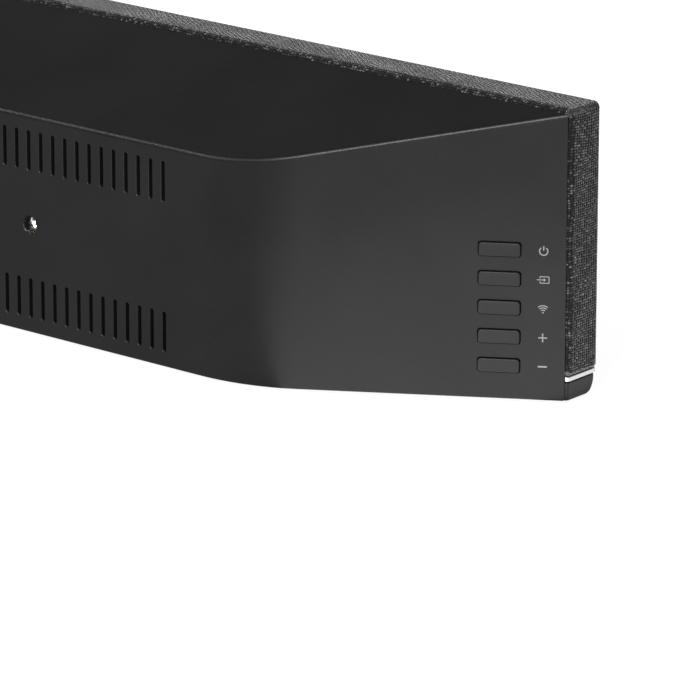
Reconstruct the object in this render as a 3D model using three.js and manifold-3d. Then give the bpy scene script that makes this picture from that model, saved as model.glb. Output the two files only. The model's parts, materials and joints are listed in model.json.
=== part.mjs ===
// Sound bar with a slanted-end rear housing, a cloth grille and a column of push buttons.
// Millimetres. +X runs along the bar, the listener sits towards -Y, +Z is up.
// The origin is the centre of the footprint at table level.
import * as THREE from "three";
import { mergeVertices } from "three/addons/utils/BufferGeometryUtils.js";
import Module from "manifold-3d";

const wasm = await Module();
wasm.setup();

// ---- overall sizes
const LENGTH = 914;
const DEPTH = 58;
const HEIGHT = 81;
const GRILLE_DEPTH = 13; // grille module, front face to rear edge
const FOOT_STAND = 1; // underside above the table
const FIT_GAP = 0.3; // between pieces that touch
const PAST = 1; // cutting tools run past the piece
const MERGE = 0.5; // joined lumps run into each other
const FEW_SIDES = 8; // on small round pieces
const MORE_SIDES = 16; // on larger ones

// ---- rear housing
const WALL = 2.4;
const END_INSET = 0.7; // housing end inside the grille end
const TOP_INSET = 1.3; // housing top below the grille top
const END_RUN = 73.25; // length of bar taken by each slanted end
const BACK_HEIGHT = 61.9; // height of the back panel
const BEND_RADIUS = 54; // back panel into slanted end
const BEND_STEPS = 10;
const TOP_EDGE_RADIUS = 1.1;
const BASE_EDGE_RADIUS = 0.5;
const EDGE_STEPS = 3;
const LEAST_RADIUS = 0.2;
const BULKHEAD_THICKNESS = 2;
const BULKHEAD_MARGIN = 1.2; // between the slanted wall and the flat cable's end
const CABLE_CLEARANCE = 3; // round the flat cable where it passes a bulkhead

// ---- vents and wall fixing
const SLOT_WIDTH = 1.25;
const SLOT_LENGTH = 11.25;
const SLOT_PITCH = 4.43;
const SLOT_COUNT = 23; // in each row of each group
const SLOT_MARGIN = 28.2; // last slot to the corner of the back panel
const SLOT_ROW_EDGE = 9.9; // row centre line to the nearest panel edge
const INSERT_HOLE = 2.3; // radius of the hole in the back panel
const INSERT_RADIUS = 3;
const INSERT_BORE = 1.65;
const INSERT_LENGTH = 8;
const BOSS_WALL = 2.2;

// ---- grille module
const REVEAL = 0.6; // shadow gap between grille and housing
const CLOTH_THICKNESS = 0.8;
const CLOTH_EDGE_RADIUS = 1.6;
const FRAME_WALL = 1.8;
const FRAME_FACE = 2.2;
const FRAME_CORNER_RADIUS = 2;
const CORNER_STEPS = 3;
const WINDOW_COUNT = 11;
const WINDOW_BAR = 8;
const WINDOW_RIM = 7; // rim around the windows
const WINDOW_RADIUS = 3;
const PEG_RADIUS = 2.2;
const STRIP_BOTTOM = 5.3; // above the underside
const STRIP_THICKNESS = 1.3;
const STRIP_BAND = 5;
const STRIP_INSET = 0.1;
const PLAN_CORNER_RADIUS = 1.5;
const CAP_INSET = 0.4;
const CAP_EDGE_RADIUS = 3;
const CAP_WALL = 1.8;
const CAP_EDGE_THICKENING = 1; // more wall behind the round edge

// ---- front baffle and its fastenings
const BAFFLE_THICKNESS = 3;
const BAFFLE_LAP = 3; // baffle end past the bulkhead
const SCREW_INSET = 71; // outer screws inside the bulkheads
const HIGH_SCREW_DROP = 10; // below the housing top at the joint
const BOSS_SIZE = 9;
const BOSS_LENGTH = 10.5;
const HOUSING_SCREW = { shank: 1.4, head: 2.8, headHeight: 1.8, length: 11 };

// ---- loudspeaker drivers, each profile as [radius, distance in front of the baffle]
const DRIVER_X = 250;
const DRIVER_CENTRE = 42.2; // above the underside
const DRIVER_STEPS = 20;
const DRIVER_HOLE = 26.5;
const FLANGE_RADIUS = 31.5;
const FLANGE_BACK = 1.4;
const FLANGE_FRONT = 3.2;
const FLANGE_BORE = 24;
const BASKET_RADIUS = DRIVER_HOLE - FIT_GAP;
const BASKET_DEPTH = 17.5;
const BASKET_WALL = 1.6;
const BACK_PLATE_RADIUS = 17.5;
const GAP_OUTER = 11.2; // magnet gap
const GAP_INNER = 7.5;
const MAGNET_RADIUS = 19.5;
const MAGNET_LENGTH = 9.7;
const CONE_RADIUS = 20.5;
const FORMER_OUTER = 9.6;
const FORMER_INNER = 8.9;
const CONE_NECK_DEPTH = 11;
const FORMER_DEPTH = 20.5;
const CONE_THICKNESS = 0.6;
const ROLL_HEIGHT = 1.65;
const SURROUND_THICKNESS = 0.6;
const SURROUND_INNER_LIP = 1.8;
const SURROUND_OUTER_LIP = 2.2;
const POLE_RISE = 6.5; // pole top in front of the former's end
const POLE_DROP = 2.5; // gap's floor behind it
const DUST_CAP_OUTSIDE = [[0, -3.8], [4, -4.3], [7.5, -5.6], [10.4, -7.9]];
const DUST_CAP_INSIDE = [[9.9, -8.3], [7.2, -6.3], [3.8, -5], [0, -4.5]];
const GASKET_THICKNESS = 0.8;
const DRIVER_SCREW_CIRCLE = 28.7;
const DRIVER_SCREW = { shank: 1.1, head: 2, headHeight: 1.2, length: 6.5 };

// ---- control buttons on the slanted end at -X
const BUTTON_NAMES = ["volume_down", "volume_up", "wireless", "input", "power"];
const BUTTON_OPENING = 11.6; // along the slanted end
const BUTTON_OPENING_HEIGHT = 4.15;
const BUTTON_RADIUS = 0.8;
const BUTTON_FROM_JOINT = 11.8; // housing's front edge to the opening
const BUTTON_LOWEST = 9.4; // centre above the underside
const BUTTON_PITCH = 8;
const BUTTON_PROUD = 0.7;
const BUTTON_CROWN = 0.4;
const BUTTON_TRAVEL = 0.6;
const BUTTON_LIP = 0.9; // retaining lip behind the wall
const BUTTON_LIP_THICKNESS = 1;
const BUTTON_STEM_LENGTH = 1;
const BUTTON_STEM = { width: 4, height: 2.4 };
const SWITCH = { size: 4.5, height: 1.3, plunger: 0.6, plungerRadius: 1 };
const BOARD_THICKNESS = 1.4;
const BUTTON_BOARD_WIDTH = 13;
const BUTTON_BOARD_MARGIN = 6.2; // beyond the outermost button centres
const BUTTON_POST_RADIUS = 1.6;

// ---- connector recess in the back panel
const RECESS_LENGTH = 120;
const RECESS_HEIGHT = 30;
const RECESS_DEPTH = 14;
const TRAY_WALL = 1.6;
const TRAY_FLANGE = 4;
const RECESS_CORNER_RADIUS = 3;
const SOCKET_PROUD = 0.2;
const SOCKETS = {
  power_inlet: { x: -44, width: 18, height: 13 },
  tv_audio_socket: { x: -14, width: 16.4, height: 7 },
  service_socket: { x: 10, width: 14.6, height: 7.6 },
  optical_socket: { x: 31, width: 10, height: 10 },
  audio_socket: { x: 48, width: 8, height: 8 },
};
const INLET_MOUTH = { width: 14.4, height: 8.4, depth: 11, radius: 4.1 };
const INLET_PIN = { radius: 1.15, spread: 4.3, length: 10, setback: 2 };
const TV_AUDIO_MOUTH = { width: 14, height: 4.6, depth: 9, radius: 0.8 };
const TV_AUDIO_TONGUE = { width: 11, thickness: 0.9 };
const SERVICE_MOUTH = { width: 12.4, height: 5, depth: 9, radius: 0.4 };
const SERVICE_TONGUE = { width: 10, thickness: 1.8 };
const TONGUE_SETBACK = 0.8;
const OPTICAL_MOUTH = { width: 6.2, height: 6.2, depth: 7, radius: 0.6 };
const AUDIO_BORE = { radius: 1.8, depth: 11.2 };

// ---- electronics
const MAIN_BOARD = { length: 150, height: 45 };
const MAIN_BOARD_FRONT = -1.6; // along Y
const BOARD_POST_X = 70;
const BOARD_POST_RADIUS = 2.6;
const BOARD_POST_INSET = 3;
const CHIPS = [
  { x: 12, width: 14, height: 14, thickness: 1.4 },
  { x: 38, width: 9, height: 9, thickness: 1.2 },
  { x: 58, width: 12, height: 8, thickness: 1.2 },
];
const HEAT_SINK = { x: -40, height: 28, fins: 9, pitch: 5, fin: 1.4, base: 2, reach: 7.5 };
const POWER_BOARD = { x: 140, length: 96, height: 44 };
const TRANSFORMER = { x: 120, core: [26, 17, 22], winding: [18, 13, 28] }; // each [x, y, z]
const CAPACITOR = { x: 166, radius: 8, length: 20, edge: 0.5 };
const CABLE_RADIUS = 1.3;
const CABLE_STEPS = 14;
const CABLE_LIE = 3; // lowest run, above the housing's floor
const CABLE_START_DROP = 12; // below the centre of the recess
const CABLE_END_RISE = 8;
const CABLE_BENDS = [10, 30, 20]; // along the bar, from the start twice and from the end
const CABLE_BEHIND = 2; // behind the baffle
const RIBBON = { width: 7, thickness: 1, gap: 1, reach: 3, endGap: 6 };
const INDICATOR = { width: 8, height: 40 };
const LIGHT = { count: 5, pitch: 8, width: 3.2, height: 1.8, rise: 1.2 };

// ---- feet
const FOOT_RADIUS = 6.5;
const FOOT_POCKET = 0.8;
const FOOT_CHAMFER = 0.4;
const FOOT_X = 280;
const FOOT_ROWS = [-9, 20];

// ---- places that follow from the sizes
const HALF = LENGTH / 2;
const FRONT_Y = -DEPTH / 2;
const BACK_Y = DEPTH / 2;
const JOIN_Y = FRONT_Y + GRILLE_DEPTH;
const HOUSING_DEPTH = DEPTH - GRILLE_DEPTH;
const HOUSING_HALF = HALF - END_INSET;
const PANEL_HALF = HOUSING_HALF - END_RUN;
const BASE_Z = FOOT_STAND;
const JOIN_TOP = HEIGHT - TOP_INSET;
const BACK_TOP = BASE_Z + BACK_HEIGHT;
const END_ANGLE = Math.atan2(HOUSING_DEPTH, END_RUN);
const INNER_BACK = BACK_Y - WALL;
const BAFFLE_BACK = JOIN_Y + BAFFLE_THICKNESS;
const RIBBON_Y = BAFFLE_BACK + FIT_GAP + BOSS_LENGTH + RIBBON.thickness + RIBBON.gap;
// the slanted wall's inner face where the flat cable's end lies behind it
const RIBBON_ROOM =
  WALL / Math.sin(END_ANGLE) + (RIBBON_Y + RIBBON.thickness / 2 - JOIN_Y) / Math.tan(END_ANGLE);
const BULKHEAD_X = HOUSING_HALF - RIBBON_ROOM - RIBBON.reach - BULKHEAD_MARGIN;
const SCREW_COLUMNS = [SCREW_INSET - BULKHEAD_X, 0, BULKHEAD_X - SCREW_INSET];
const BAFFLE_HALF = BULKHEAD_X + BAFFLE_LAP;
const STRIP_LOW = BASE_Z + STRIP_BOTTOM;
const STRIP_HIGH = STRIP_LOW + STRIP_THICKNESS;
const CLOTH_BOTTOM = STRIP_HIGH + FIT_GAP;
const GRILLE_REAR = JOIN_Y - REVEAL;
const FRAME_INSET = CLOTH_THICKNESS + FIT_GAP;
const FRAME_HOLLOW = FRAME_INSET + FRAME_WALL;
const FRAME_BACK = FRONT_Y + FRAME_INSET + FRAME_FACE;
const DRIVER_Z = BASE_Z + DRIVER_CENTRE;
const RECESS_Z = BASE_Z + BACK_HEIGHT / 2;
const RECESS_FLOOR = BACK_Y - RECESS_DEPTH;
const SLOT_ROWS = [BASE_Z + SLOT_ROW_EDGE, BACK_TOP - SLOT_ROW_EDGE];
const INSERT_X = PANEL_HALF - SLOT_MARGIN - (SLOT_PITCH * (SLOT_COUNT - 1)) / 2;
const INSERT_Z = (SLOT_ROWS[0] + SLOT_ROWS[1]) / 2;
const INSERT_REAR = INNER_BACK - FIT_GAP;
// the lower screws' heads clear the floor of the grille frame
const LOW_SCREW_Z = CLOTH_BOTTOM + FRAME_HOLLOW + HOUSING_SCREW.head + 2 * FIT_GAP;
const SCREW_ROWS = [LOW_SCREW_Z, JOIN_TOP - HIGH_SCREW_DROP];
const BUTTON_X = BUTTON_FROM_JOINT + BUTTON_OPENING / 2;
const BUTTON_BOARD_DEPTH =
  WALL + FIT_GAP + BUTTON_LIP_THICKNESS + BUTTON_STEM_LENGTH +
  BUTTON_TRAVEL + FIT_GAP + SWITCH.plunger + SWITCH.height;
// the board starts where its back corner stays behind the grille module
const BUTTON_BOARD_EDGE = (BUTTON_BOARD_DEPTH + BOARD_THICKNESS) / Math.tan(END_ANGLE);
const MAIN_BOARD_BACK = MAIN_BOARD_FRONT + BOARD_THICKNESS;
const BOARD_POST_REACH = MAIN_BOARD.height / 2 - BOARD_POST_INSET;
const BOARD_POST_ROWS = [RECESS_Z - BOARD_POST_REACH, RECESS_Z + BOARD_POST_REACH];
const buttonHeight = (i) => BASE_Z + BUTTON_LOWEST + i * BUTTON_PITCH;
const topAt = (y) => JOIN_TOP - ((JOIN_TOP - BACK_TOP) * (y - JOIN_Y)) / HOUSING_DEPTH;

// ---- finishes as [colour, roughness, metalness]
const SHELL = [0x2e2e30, 0.55, 0];
const BUTTON = [0x3a3a3c, 0.5, 0];
const INNER_PLASTIC = [0x1c1c1e, 0.7, 0];
const CLOTH = [0x2a2a2b, 0.95, 0];
const SILVER = [0xc9cacc, 0.35, 0.6];
const RUBBER = [0x161616, 0.9, 0];
const BRASS = [0xb08d4a, 0.35, 1];
const STEEL = [0x9a9ca0, 0.4, 1];
const MAGNET = [0x2a2b2e, 0.5, 0.6];
const PAPER = [0x222224, 0.85, 0];
const BOARD = [0x1f5c36, 0.6, 0];
const ALUMINIUM = [0xb4b6ba, 0.4, 0.9];
const COPPER_WINDING = [0x8a5a2c, 0.5, 0.3];
const WIRE = [0x3a1d1d, 0.7, 0];

// ---- solids: joining and cutting

/** A closed geometry as a solid that can be joined and cut. */
function solid(geometry) {
  const bare = geometry.clone();
  bare.deleteAttribute("normal");
  bare.deleteAttribute("uv");
  const merged = mergeVertices(bare, 1e-4);
  const corners = merged.index.array;
  const triangles = [];
  for (let i = 0; i < corners.length; i += 3) {
    const [a, b, c] = corners.slice(i, i + 3);
    if (a !== b && b !== c && c !== a) triangles.push(a, b, c);
  }
  return new wasm.Manifold(
    new wasm.Mesh({
      numProp: 3,
      vertProperties: new Float32Array(merged.attributes.position.array),
      triVerts: new Uint32Array(triangles),
    }),
  );
}

/** The triangles of a solid, as a geometry. */
function geometryOf(body) {
  const mesh = body.getMesh();
  const geometry = new THREE.BufferGeometry();
  geometry.setAttribute("position", new THREE.BufferAttribute(mesh.vertProperties, 3));
  geometry.setIndex(new THREE.BufferAttribute(mesh.triVerts, 1));
  return geometry;
}

/** The geometries joined into one solid. */
function joined(geometries) {
  return geometries.map(solid).reduce((sum, next) => sum.add(next));
}

/** A geometry without the space that the tools fill. */
function cut(geometry, tools) {
  return geometryOf(solid(geometry).subtract(joined(tools)));
}

/** A geometry turned the right way round, so that its faces point outwards. */
function facingOut(geometry) {
  const at = geometry.attributes.position;
  const index = geometry.index.array;
  const [a, b, c] = [new THREE.Vector3(), new THREE.Vector3(), new THREE.Vector3()];
  let volume = 0;
  for (let i = 0; i < index.length; i += 3) {
    a.fromBufferAttribute(at, index[i]);
    b.fromBufferAttribute(at, index[i + 1]);
    c.fromBufferAttribute(at, index[i + 2]);
    volume += a.dot(b.cross(c));
  }
  if (volume < 0) index.reverse();
  return geometry;
}

// ---- basic shapes

const ARC_STEPS = 2; // a drawn arc takes twice as many straight lines

function box(x0, x1, y0, y1, z0, z1) {
  const geometry = new THREE.BoxGeometry(x1 - x0, y1 - y0, z1 - z0);
  return geometry.translate((x0 + x1) / 2, (y0 + y1) / 2, (z0 + z1) / 2);
}

/** A round bar along Y. */
function rod(radius, x, z, y0, y1, steps = MORE_SIDES) {
  const geometry = new THREE.CylinderGeometry(radius, radius, y1 - y0, steps);
  return geometry.translate(x, (y0 + y1) / 2, z);
}

/** A turned piece: profile of [radius, height] points around +Y. */
function turned(profile, steps) {
  const points = profile.map(([radius, height]) => new THREE.Vector2(radius, height));
  return facingOut(new THREE.LatheGeometry(points, steps));
}

/** A turned ring, whose profile closes on itself. */
function turnedRing(profile, steps) {
  return turned([...profile, profile[0]], steps);
}

/** A closed solid through stacked outlines; flat() gives their view from the far end of the stack. */
function loft(rings, flat) {
  const count = rings[0].length;
  const index = [];
  for (let level = 0; level + 1 < rings.length; level++) {
    for (let i = 0; i < count; i++) {
      const a = level * count + i;
      const b = level * count + ((i + 1) % count);
      index.push(a, b, b + count, a, b + count, a + count);
    }
  }
  const last = (rings.length - 1) * count;
  for (const [a, b, c] of THREE.ShapeUtils.triangulateShape(rings[0].map(flat), [])) {
    index.push(a, c, b);
  }
  for (const [a, b, c] of THREE.ShapeUtils.triangulateShape(rings.at(-1).map(flat), [])) {
    index.push(last + a, last + b, last + c);
  }
  const geometry = new THREE.BufferGeometry().setFromPoints(rings.flat());
  geometry.setIndex(index);
  return geometry;
}

const seenFromAbove = (p) => new THREE.Vector2(p.x, p.y);
const seenFromFront = (p) => new THREE.Vector2(p.x, p.z);

/** Rounded rectangle as a shape in two dimensions. */
function roundedRectangle(u0, u1, v0, v1, radius) {
  const shape = new THREE.Shape();
  const quarter = Math.PI / 2;
  shape.absarc(u1 - radius, v1 - radius, radius, 0, quarter);
  shape.absarc(u0 + radius, v1 - radius, radius, quarter, 2 * quarter);
  shape.absarc(u0 + radius, v0 + radius, radius, 2 * quarter, 3 * quarter);
  shape.absarc(u1 - radius, v0 + radius, radius, 3 * quarter, 4 * quarter);
  return shape;
}

/** A shape drawn in XZ, filled from y0 to y1. */
function acrossY(shape, y0, y1, steps = ARC_STEPS) {
  const geometry = new THREE.ExtrudeGeometry(shape, {
    depth: y1 - y0,
    bevelEnabled: false,
    curveSegments: steps,
  });
  return geometry.rotateX(Math.PI / 2).translate(0, y1, 0);
}

/** A shape drawn in XY, filled from z0 to z1. */
function upwards(shape, z0, z1, steps = ARC_STEPS) {
  const geometry = new THREE.ExtrudeGeometry(shape, {
    depth: z1 - z0,
    bevelEnabled: false,
    curveSegments: steps,
  });
  return geometry.translate(0, 0, z0);
}

/** A shape drawn in YZ, filled from x0 to x1. */
function alongX(shape, x0, x1, steps = ARC_STEPS) {
  const geometry = new THREE.ExtrudeGeometry(shape, {
    depth: x1 - x0,
    bevelEnabled: false,
    curveSegments: steps,
  });
  const turn = new THREE.Matrix4().makeBasis(
    new THREE.Vector3(0, 1, 0),
    new THREE.Vector3(0, 0, 1),
    new THREE.Vector3(1, 0, 0),
  );
  return geometry.applyMatrix4(turn).translate(x0, 0, 0);
}

/** A small screw along Y with its head towards -Y; the head's underside is at y = 0. */
function screw({ shank, head, headHeight, length }) {
  const profile = [
    [0, -headHeight],
    [head, -headHeight / 2],
    [head, 0],
    [shank, 0],
    [shank, length - shank],
    [0, length],
  ];
  return turned(profile, FEW_SIDES);
}

// ---- assembly

const soundBar = new THREE.Group();
soundBar.name = "sound_bar";

/** Adds one named piece with its own material. */
function add(parent, name, geometry, [color, roughness, metalness]) {
  const material = new THREE.MeshStandardMaterial({ color, roughness, metalness });
  const mesh = new THREE.Mesh(geometry, material);
  mesh.name = name;
  parent.add(mesh);
  return mesh;
}

/** The slanted end's own frame: +X back along the end, +Y out of it, +Z up. */
const buttonEnd = new THREE.Group();
buttonEnd.position.set(-HOUSING_HALF, JOIN_Y, 0);
buttonEnd.rotation.z = END_ANGLE;
buttonEnd.updateMatrix();
soundBar.add(buttonEnd);

/** A geometry made in the slanted end's frame, moved into the bar's frame. */
const onButtonEnd = (geometry) => geometry.applyMatrix4(buttonEnd.matrix);

// ---- rear housing

/** The housing's outline from above, set in from its back and ends, and open to the given front. */
function housingPlan(inset, front) {
  const endX = (y) =>
    HOUSING_HALF - inset / Math.sin(END_ANGLE) - (y - JOIN_Y) / Math.tan(END_ANGLE);
  const back = BACK_Y - inset;
  const radius = BEND_RADIUS - inset;
  const centreX = endX(back) - radius * Math.tan(END_ANGLE / 2);
  const right = [new THREE.Vector2(endX(front), front)];
  for (let i = 0; i <= BEND_STEPS; i++) {
    const angle = Math.PI / 2 - END_ANGLE * (1 - i / BEND_STEPS);
    const x = centreX + radius * Math.cos(angle);
    right.push(new THREE.Vector2(x, back - radius + radius * Math.sin(angle)));
  }
  const left = right.map((p) => new THREE.Vector2(-p.x, p.y)).reverse();
  return [...right, ...left];
}

function housingRing(inset, front, heightAt) {
  return housingPlan(inset, front).map((p) => new THREE.Vector3(p.x, p.y, heightAt(p.y)));
}

/** The housing's outside as a solid block, with its top and base edges rounded. */
function housingBlock() {
  const rings = [];
  for (let i = 0; i <= EDGE_STEPS; i++) {
    const angle = (Math.PI / 2) * (i / EDGE_STEPS);
    const inset = BASE_EDGE_RADIUS * (1 - Math.sin(angle));
    const height = BASE_Z + BASE_EDGE_RADIUS * (1 - Math.cos(angle));
    rings.push(housingRing(inset, JOIN_Y, () => height));
  }
  for (let i = 0; i <= EDGE_STEPS; i++) {
    const angle = (Math.PI / 2) * (i / EDGE_STEPS);
    const inset = TOP_EDGE_RADIUS * (1 - Math.cos(angle));
    const drop = TOP_EDGE_RADIUS * (1 - Math.sin(angle));
    rings.push(housingRing(inset, JOIN_Y, (y) => topAt(y) - drop));
  }
  return loft(rings, seenFromAbove);
}

/** The space inside the housing, offset from its outside, from the given front backwards. */
function housingSpace(offset, front) {
  const low = housingRing(offset, front, () => BASE_Z + offset);
  const high = housingRing(offset, front, (y) => topAt(y) - offset);
  return loft([low, high], seenFromAbove);
}

/** Bosses, posts and bulkheads that grow from the housing's walls, before trimming to its outside. */
function housingFixtures() {
  const pieces = [];
  const half = BOSS_SIZE / 2;
  const front = BAFFLE_BACK + FIT_GAP;
  const [low, high] = SCREW_ROWS;
  for (const x of SCREW_COLUMNS) {
    pieces.push(box(x - half, x + half, front, front + BOSS_LENGTH, BASE_Z, low + half));
    pieces.push(box(x - half, x + half, front, front + BOSS_LENGTH, high - half, HEIGHT));
  }
  const insertFront = INSERT_REAR - INSERT_LENGTH;
  const postFront = MAIN_BOARD_BACK + FIT_GAP;
  for (const side of [-1, 1]) {
    pieces.push(bulkhead(side, front));
    const bossRadius = INSERT_RADIUS + BOSS_WALL;
    pieces.push(rod(bossRadius, side * INSERT_X, INSERT_Z, insertFront, BACK_Y));
    for (const z of BOARD_POST_ROWS) {
      const x = side * BOARD_POST_X;
      pieces.push(rod(BOARD_POST_RADIUS, x, z, postFront, BACK_Y, FEW_SIDES));
    }
  }
  const boardFace = -(BUTTON_BOARD_DEPTH - FIT_GAP);
  for (const z of buttonPostHeights()) {
    const post = rod(BUTTON_POST_RADIUS, BUTTON_X, z, boardFace, -WALL / 2, FEW_SIDES);
    pieces.push(onButtonEnd(post));
  }
  return pieces;
}

/** The wall that closes one end of the enclosure, with a notch at the floor for the flat cable. */
function bulkhead(side, front) {
  const edge = side * BULKHEAD_X;
  const inner = edge - side * BULKHEAD_THICKNESS;
  const [x0, x1] = [Math.min(edge, inner), Math.max(edge, inner)];
  const wall = box(x0, x1, front, BACK_Y, BASE_Z, HEIGHT);
  const notchTop = BASE_Z + WALL + RIBBON.width + CABLE_CLEARANCE;
  const [notchFront, notchBack] = [RIBBON_Y - CABLE_CLEARANCE, RIBBON_Y + CABLE_CLEARANCE];
  return cut(wall, [box(x0 - PAST, x1 + PAST, notchFront, notchBack, BASE_Z, notchTop)]);
}

/** Heights of the two posts that carry the button board, clear of the outermost buttons' lips. */
function buttonPostHeights() {
  const reach = BUTTON_OPENING_HEIGHT / 2 + BUTTON_LIP + FIT_GAP + BUTTON_POST_RADIUS;
  return [buttonHeight(0) - reach, buttonHeight(BUTTON_NAMES.length - 1) + reach];
}

/** One vent slot through the back panel. */
function ventSlot(x, z) {
  const half = SLOT_WIDTH / 2;
  const end = SLOT_LENGTH / 2;
  const shape = new THREE.Shape();
  shape.moveTo(x + half, z - end + half).lineTo(x + half, z + end - half);
  shape.lineTo(x + half / 2, z + end).lineTo(x - half / 2, z + end);
  shape.lineTo(x - half, z + end - half).lineTo(x - half, z - end + half);
  shape.lineTo(x - half / 2, z - end).lineTo(x + half / 2, z - end);
  return acrossY(shape, INNER_BACK - PAST, BACK_Y + PAST);
}

/** Everything that is cut out of the housing after its hollow. */
function housingOpenings() {
  const tools = [];
  for (const side of [-1, 1]) {
    for (let i = 0; i < SLOT_COUNT; i++) {
      const x = side * (PANEL_HALF - SLOT_MARGIN - i * SLOT_PITCH);
      for (const z of SLOT_ROWS) tools.push(ventSlot(x, z));
    }
    const [x, bore] = [side * INSERT_X, INSERT_RADIUS + FIT_GAP];
    tools.push(rod(INSERT_HOLE, x, INSERT_Z, INSERT_REAR, BACK_Y + PAST));
    tools.push(rod(bore, x, INSERT_Z, INSERT_REAR - INSERT_LENGTH - PAST, INNER_BACK));
    for (const y of FOOT_ROWS) {
      const radius = FOOT_RADIUS + FIT_GAP;
      const pocket = new THREE.CylinderGeometry(radius, radius, FOOT_POCKET + PAST, MORE_SIDES);
      const middle = BASE_Z + (FOOT_POCKET - PAST) / 2;
      tools.push(pocket.rotateX(Math.PI / 2).translate(side * FOOT_X, y, middle));
    }
  }
  const shankHole = HOUSING_SCREW.shank + FIT_GAP;
  const shankEnd = JOIN_Y + HOUSING_SCREW.length;
  for (const x of SCREW_COLUMNS) {
    for (const z of SCREW_ROWS) {
      tools.push(rod(shankHole, x, z, BAFFLE_BACK - PAST, shankEnd, FEW_SIDES));
    }
  }
  const [halfLength, halfHeight] = [RECESS_LENGTH / 2, RECESS_HEIGHT / 2];
  const recess = roundedRectangle(
    -halfLength, halfLength, RECESS_Z - halfHeight, RECESS_Z + halfHeight, RECESS_CORNER_RADIUS,
  );
  tools.push(acrossY(recess, INNER_BACK - PAST, BACK_Y + PAST));
  for (let i = 0; i < BUTTON_NAMES.length; i++) {
    tools.push(onButtonEnd(buttonOpening(buttonHeight(i))));
  }
  return tools;
}

function buttonOpening(z) {
  const [halfWidth, halfHeight] = [BUTTON_OPENING / 2, BUTTON_OPENING_HEIGHT / 2];
  const shape = roundedRectangle(
    BUTTON_X - halfWidth, BUTTON_X + halfWidth, z - halfHeight, z + halfHeight, BUTTON_RADIUS,
  );
  return acrossY(shape, -WALL - PAST, PAST);
}

function rearHousing() {
  const block = solid(housingBlock());
  const hollow = solid(housingSpace(WALL, JOIN_Y - PAST));
  const fixtures = joined(housingFixtures()).intersect(block);
  return geometryOf(block.subtract(hollow).add(fixtures).subtract(joined(housingOpenings())));
}

// ---- front baffle

/** Places along the bar of the bars between the frame's windows, each with a peg behind it. */
function barPositions() {
  const span = 2 * (HALF - FRAME_HOLLOW - WINDOW_RIM) + WINDOW_BAR;
  const positions = [];
  for (let i = 1; i < WINDOW_COUNT; i++) positions.push(-span / 2 + (i * span) / WINDOW_COUNT);
  return positions;
}

/** The middle of one of the frame's windows. */
function windowCentre(i) {
  const [first, second] = barPositions();
  return first + (i - 0.5) * (second - first);
}

/** Places of the four screws of a driver, from its centre. */
function driverScrewPlaces() {
  const reach = DRIVER_SCREW_CIRCLE * Math.SQRT1_2;
  return [[-reach, -reach], [reach, -reach], [reach, reach], [-reach, reach]];
}

function frontBaffle() {
  const space = solid(housingSpace(WALL + FIT_GAP, JOIN_Y - PAST));
  const slab = solid(box(-BAFFLE_HALF, BAFFLE_HALF, JOIN_Y, BAFFLE_BACK, 0, HEIGHT));
  const tools = [];
  const through = (radius, x, z, steps) =>
    tools.push(rod(radius, x, z, JOIN_Y - PAST, BAFFLE_BACK + PAST, steps));
  for (const side of [-1, 1]) {
    through(DRIVER_HOLE, side * DRIVER_X, DRIVER_Z, DRIVER_STEPS);
    for (const [dx, dz] of driverScrewPlaces()) {
      const x = side * DRIVER_X + dx;
      through(DRIVER_SCREW.shank + FIT_GAP, x, DRIVER_Z + dz, FEW_SIDES);
    }
  }
  for (const x of barPositions()) through(PEG_RADIUS + FIT_GAP, x, DRIVER_Z, FEW_SIDES);
  for (const x of SCREW_COLUMNS) {
    for (const z of SCREW_ROWS) through(HOUSING_SCREW.shank + FIT_GAP, x, z, FEW_SIDES);
  }
  return geometryOf(space.intersect(slab).subtract(joined(tools)));
}

// ---- grille module

/** A rounded rectangle across the bar, seen from the front, at one distance along Y. */
function frontRing(x0, x1, z0, z1, radius, y) {
  const [left, right, low, high] = [x0 + radius, x1 - radius, z0 + radius, z1 - radius];
  const centres = [[right, high], [left, high], [left, low], [right, low]];
  const ring = [];
  centres.forEach(([x, z], corner) => {
    for (let i = 0; i <= CORNER_STEPS; i++) {
      const angle = (Math.PI / 2) * (corner + i / CORNER_STEPS);
      ring.push(new THREE.Vector3(x + radius * Math.cos(angle), y, z + radius * Math.sin(angle)));
    }
  });
  return ring;
}

/** The grille's block set in all round, from the given rear to its front face. */
function grilleBlock(inset, rear) {
  const edge = Math.max(CLOTH_EDGE_RADIUS - inset, LEAST_RADIUS);
  const ring = (more, y) => {
    const all = inset + more;
    const radius = Math.max(FRAME_CORNER_RADIUS - all / 2, LEAST_RADIUS);
    return frontRing(-HALF + all, HALF - all, CLOTH_BOTTOM + all, HEIGHT - all, radius, y);
  };
  const rings = [ring(0, rear)];
  const front = FRONT_Y + inset;
  for (let i = 0; i <= EDGE_STEPS; i++) {
    const angle = (Math.PI / 2) * (i / EDGE_STEPS);
    rings.push(ring(edge * (1 - Math.cos(angle)), front + edge * (1 - Math.sin(angle))));
  }
  return loft(rings, seenFromFront);
}

function grilleCloth() {
  const inside = grilleBlock(CLOTH_THICKNESS, GRILLE_REAR + PAST);
  return cut(grilleBlock(0, GRILLE_REAR), [inside]);
}

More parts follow.
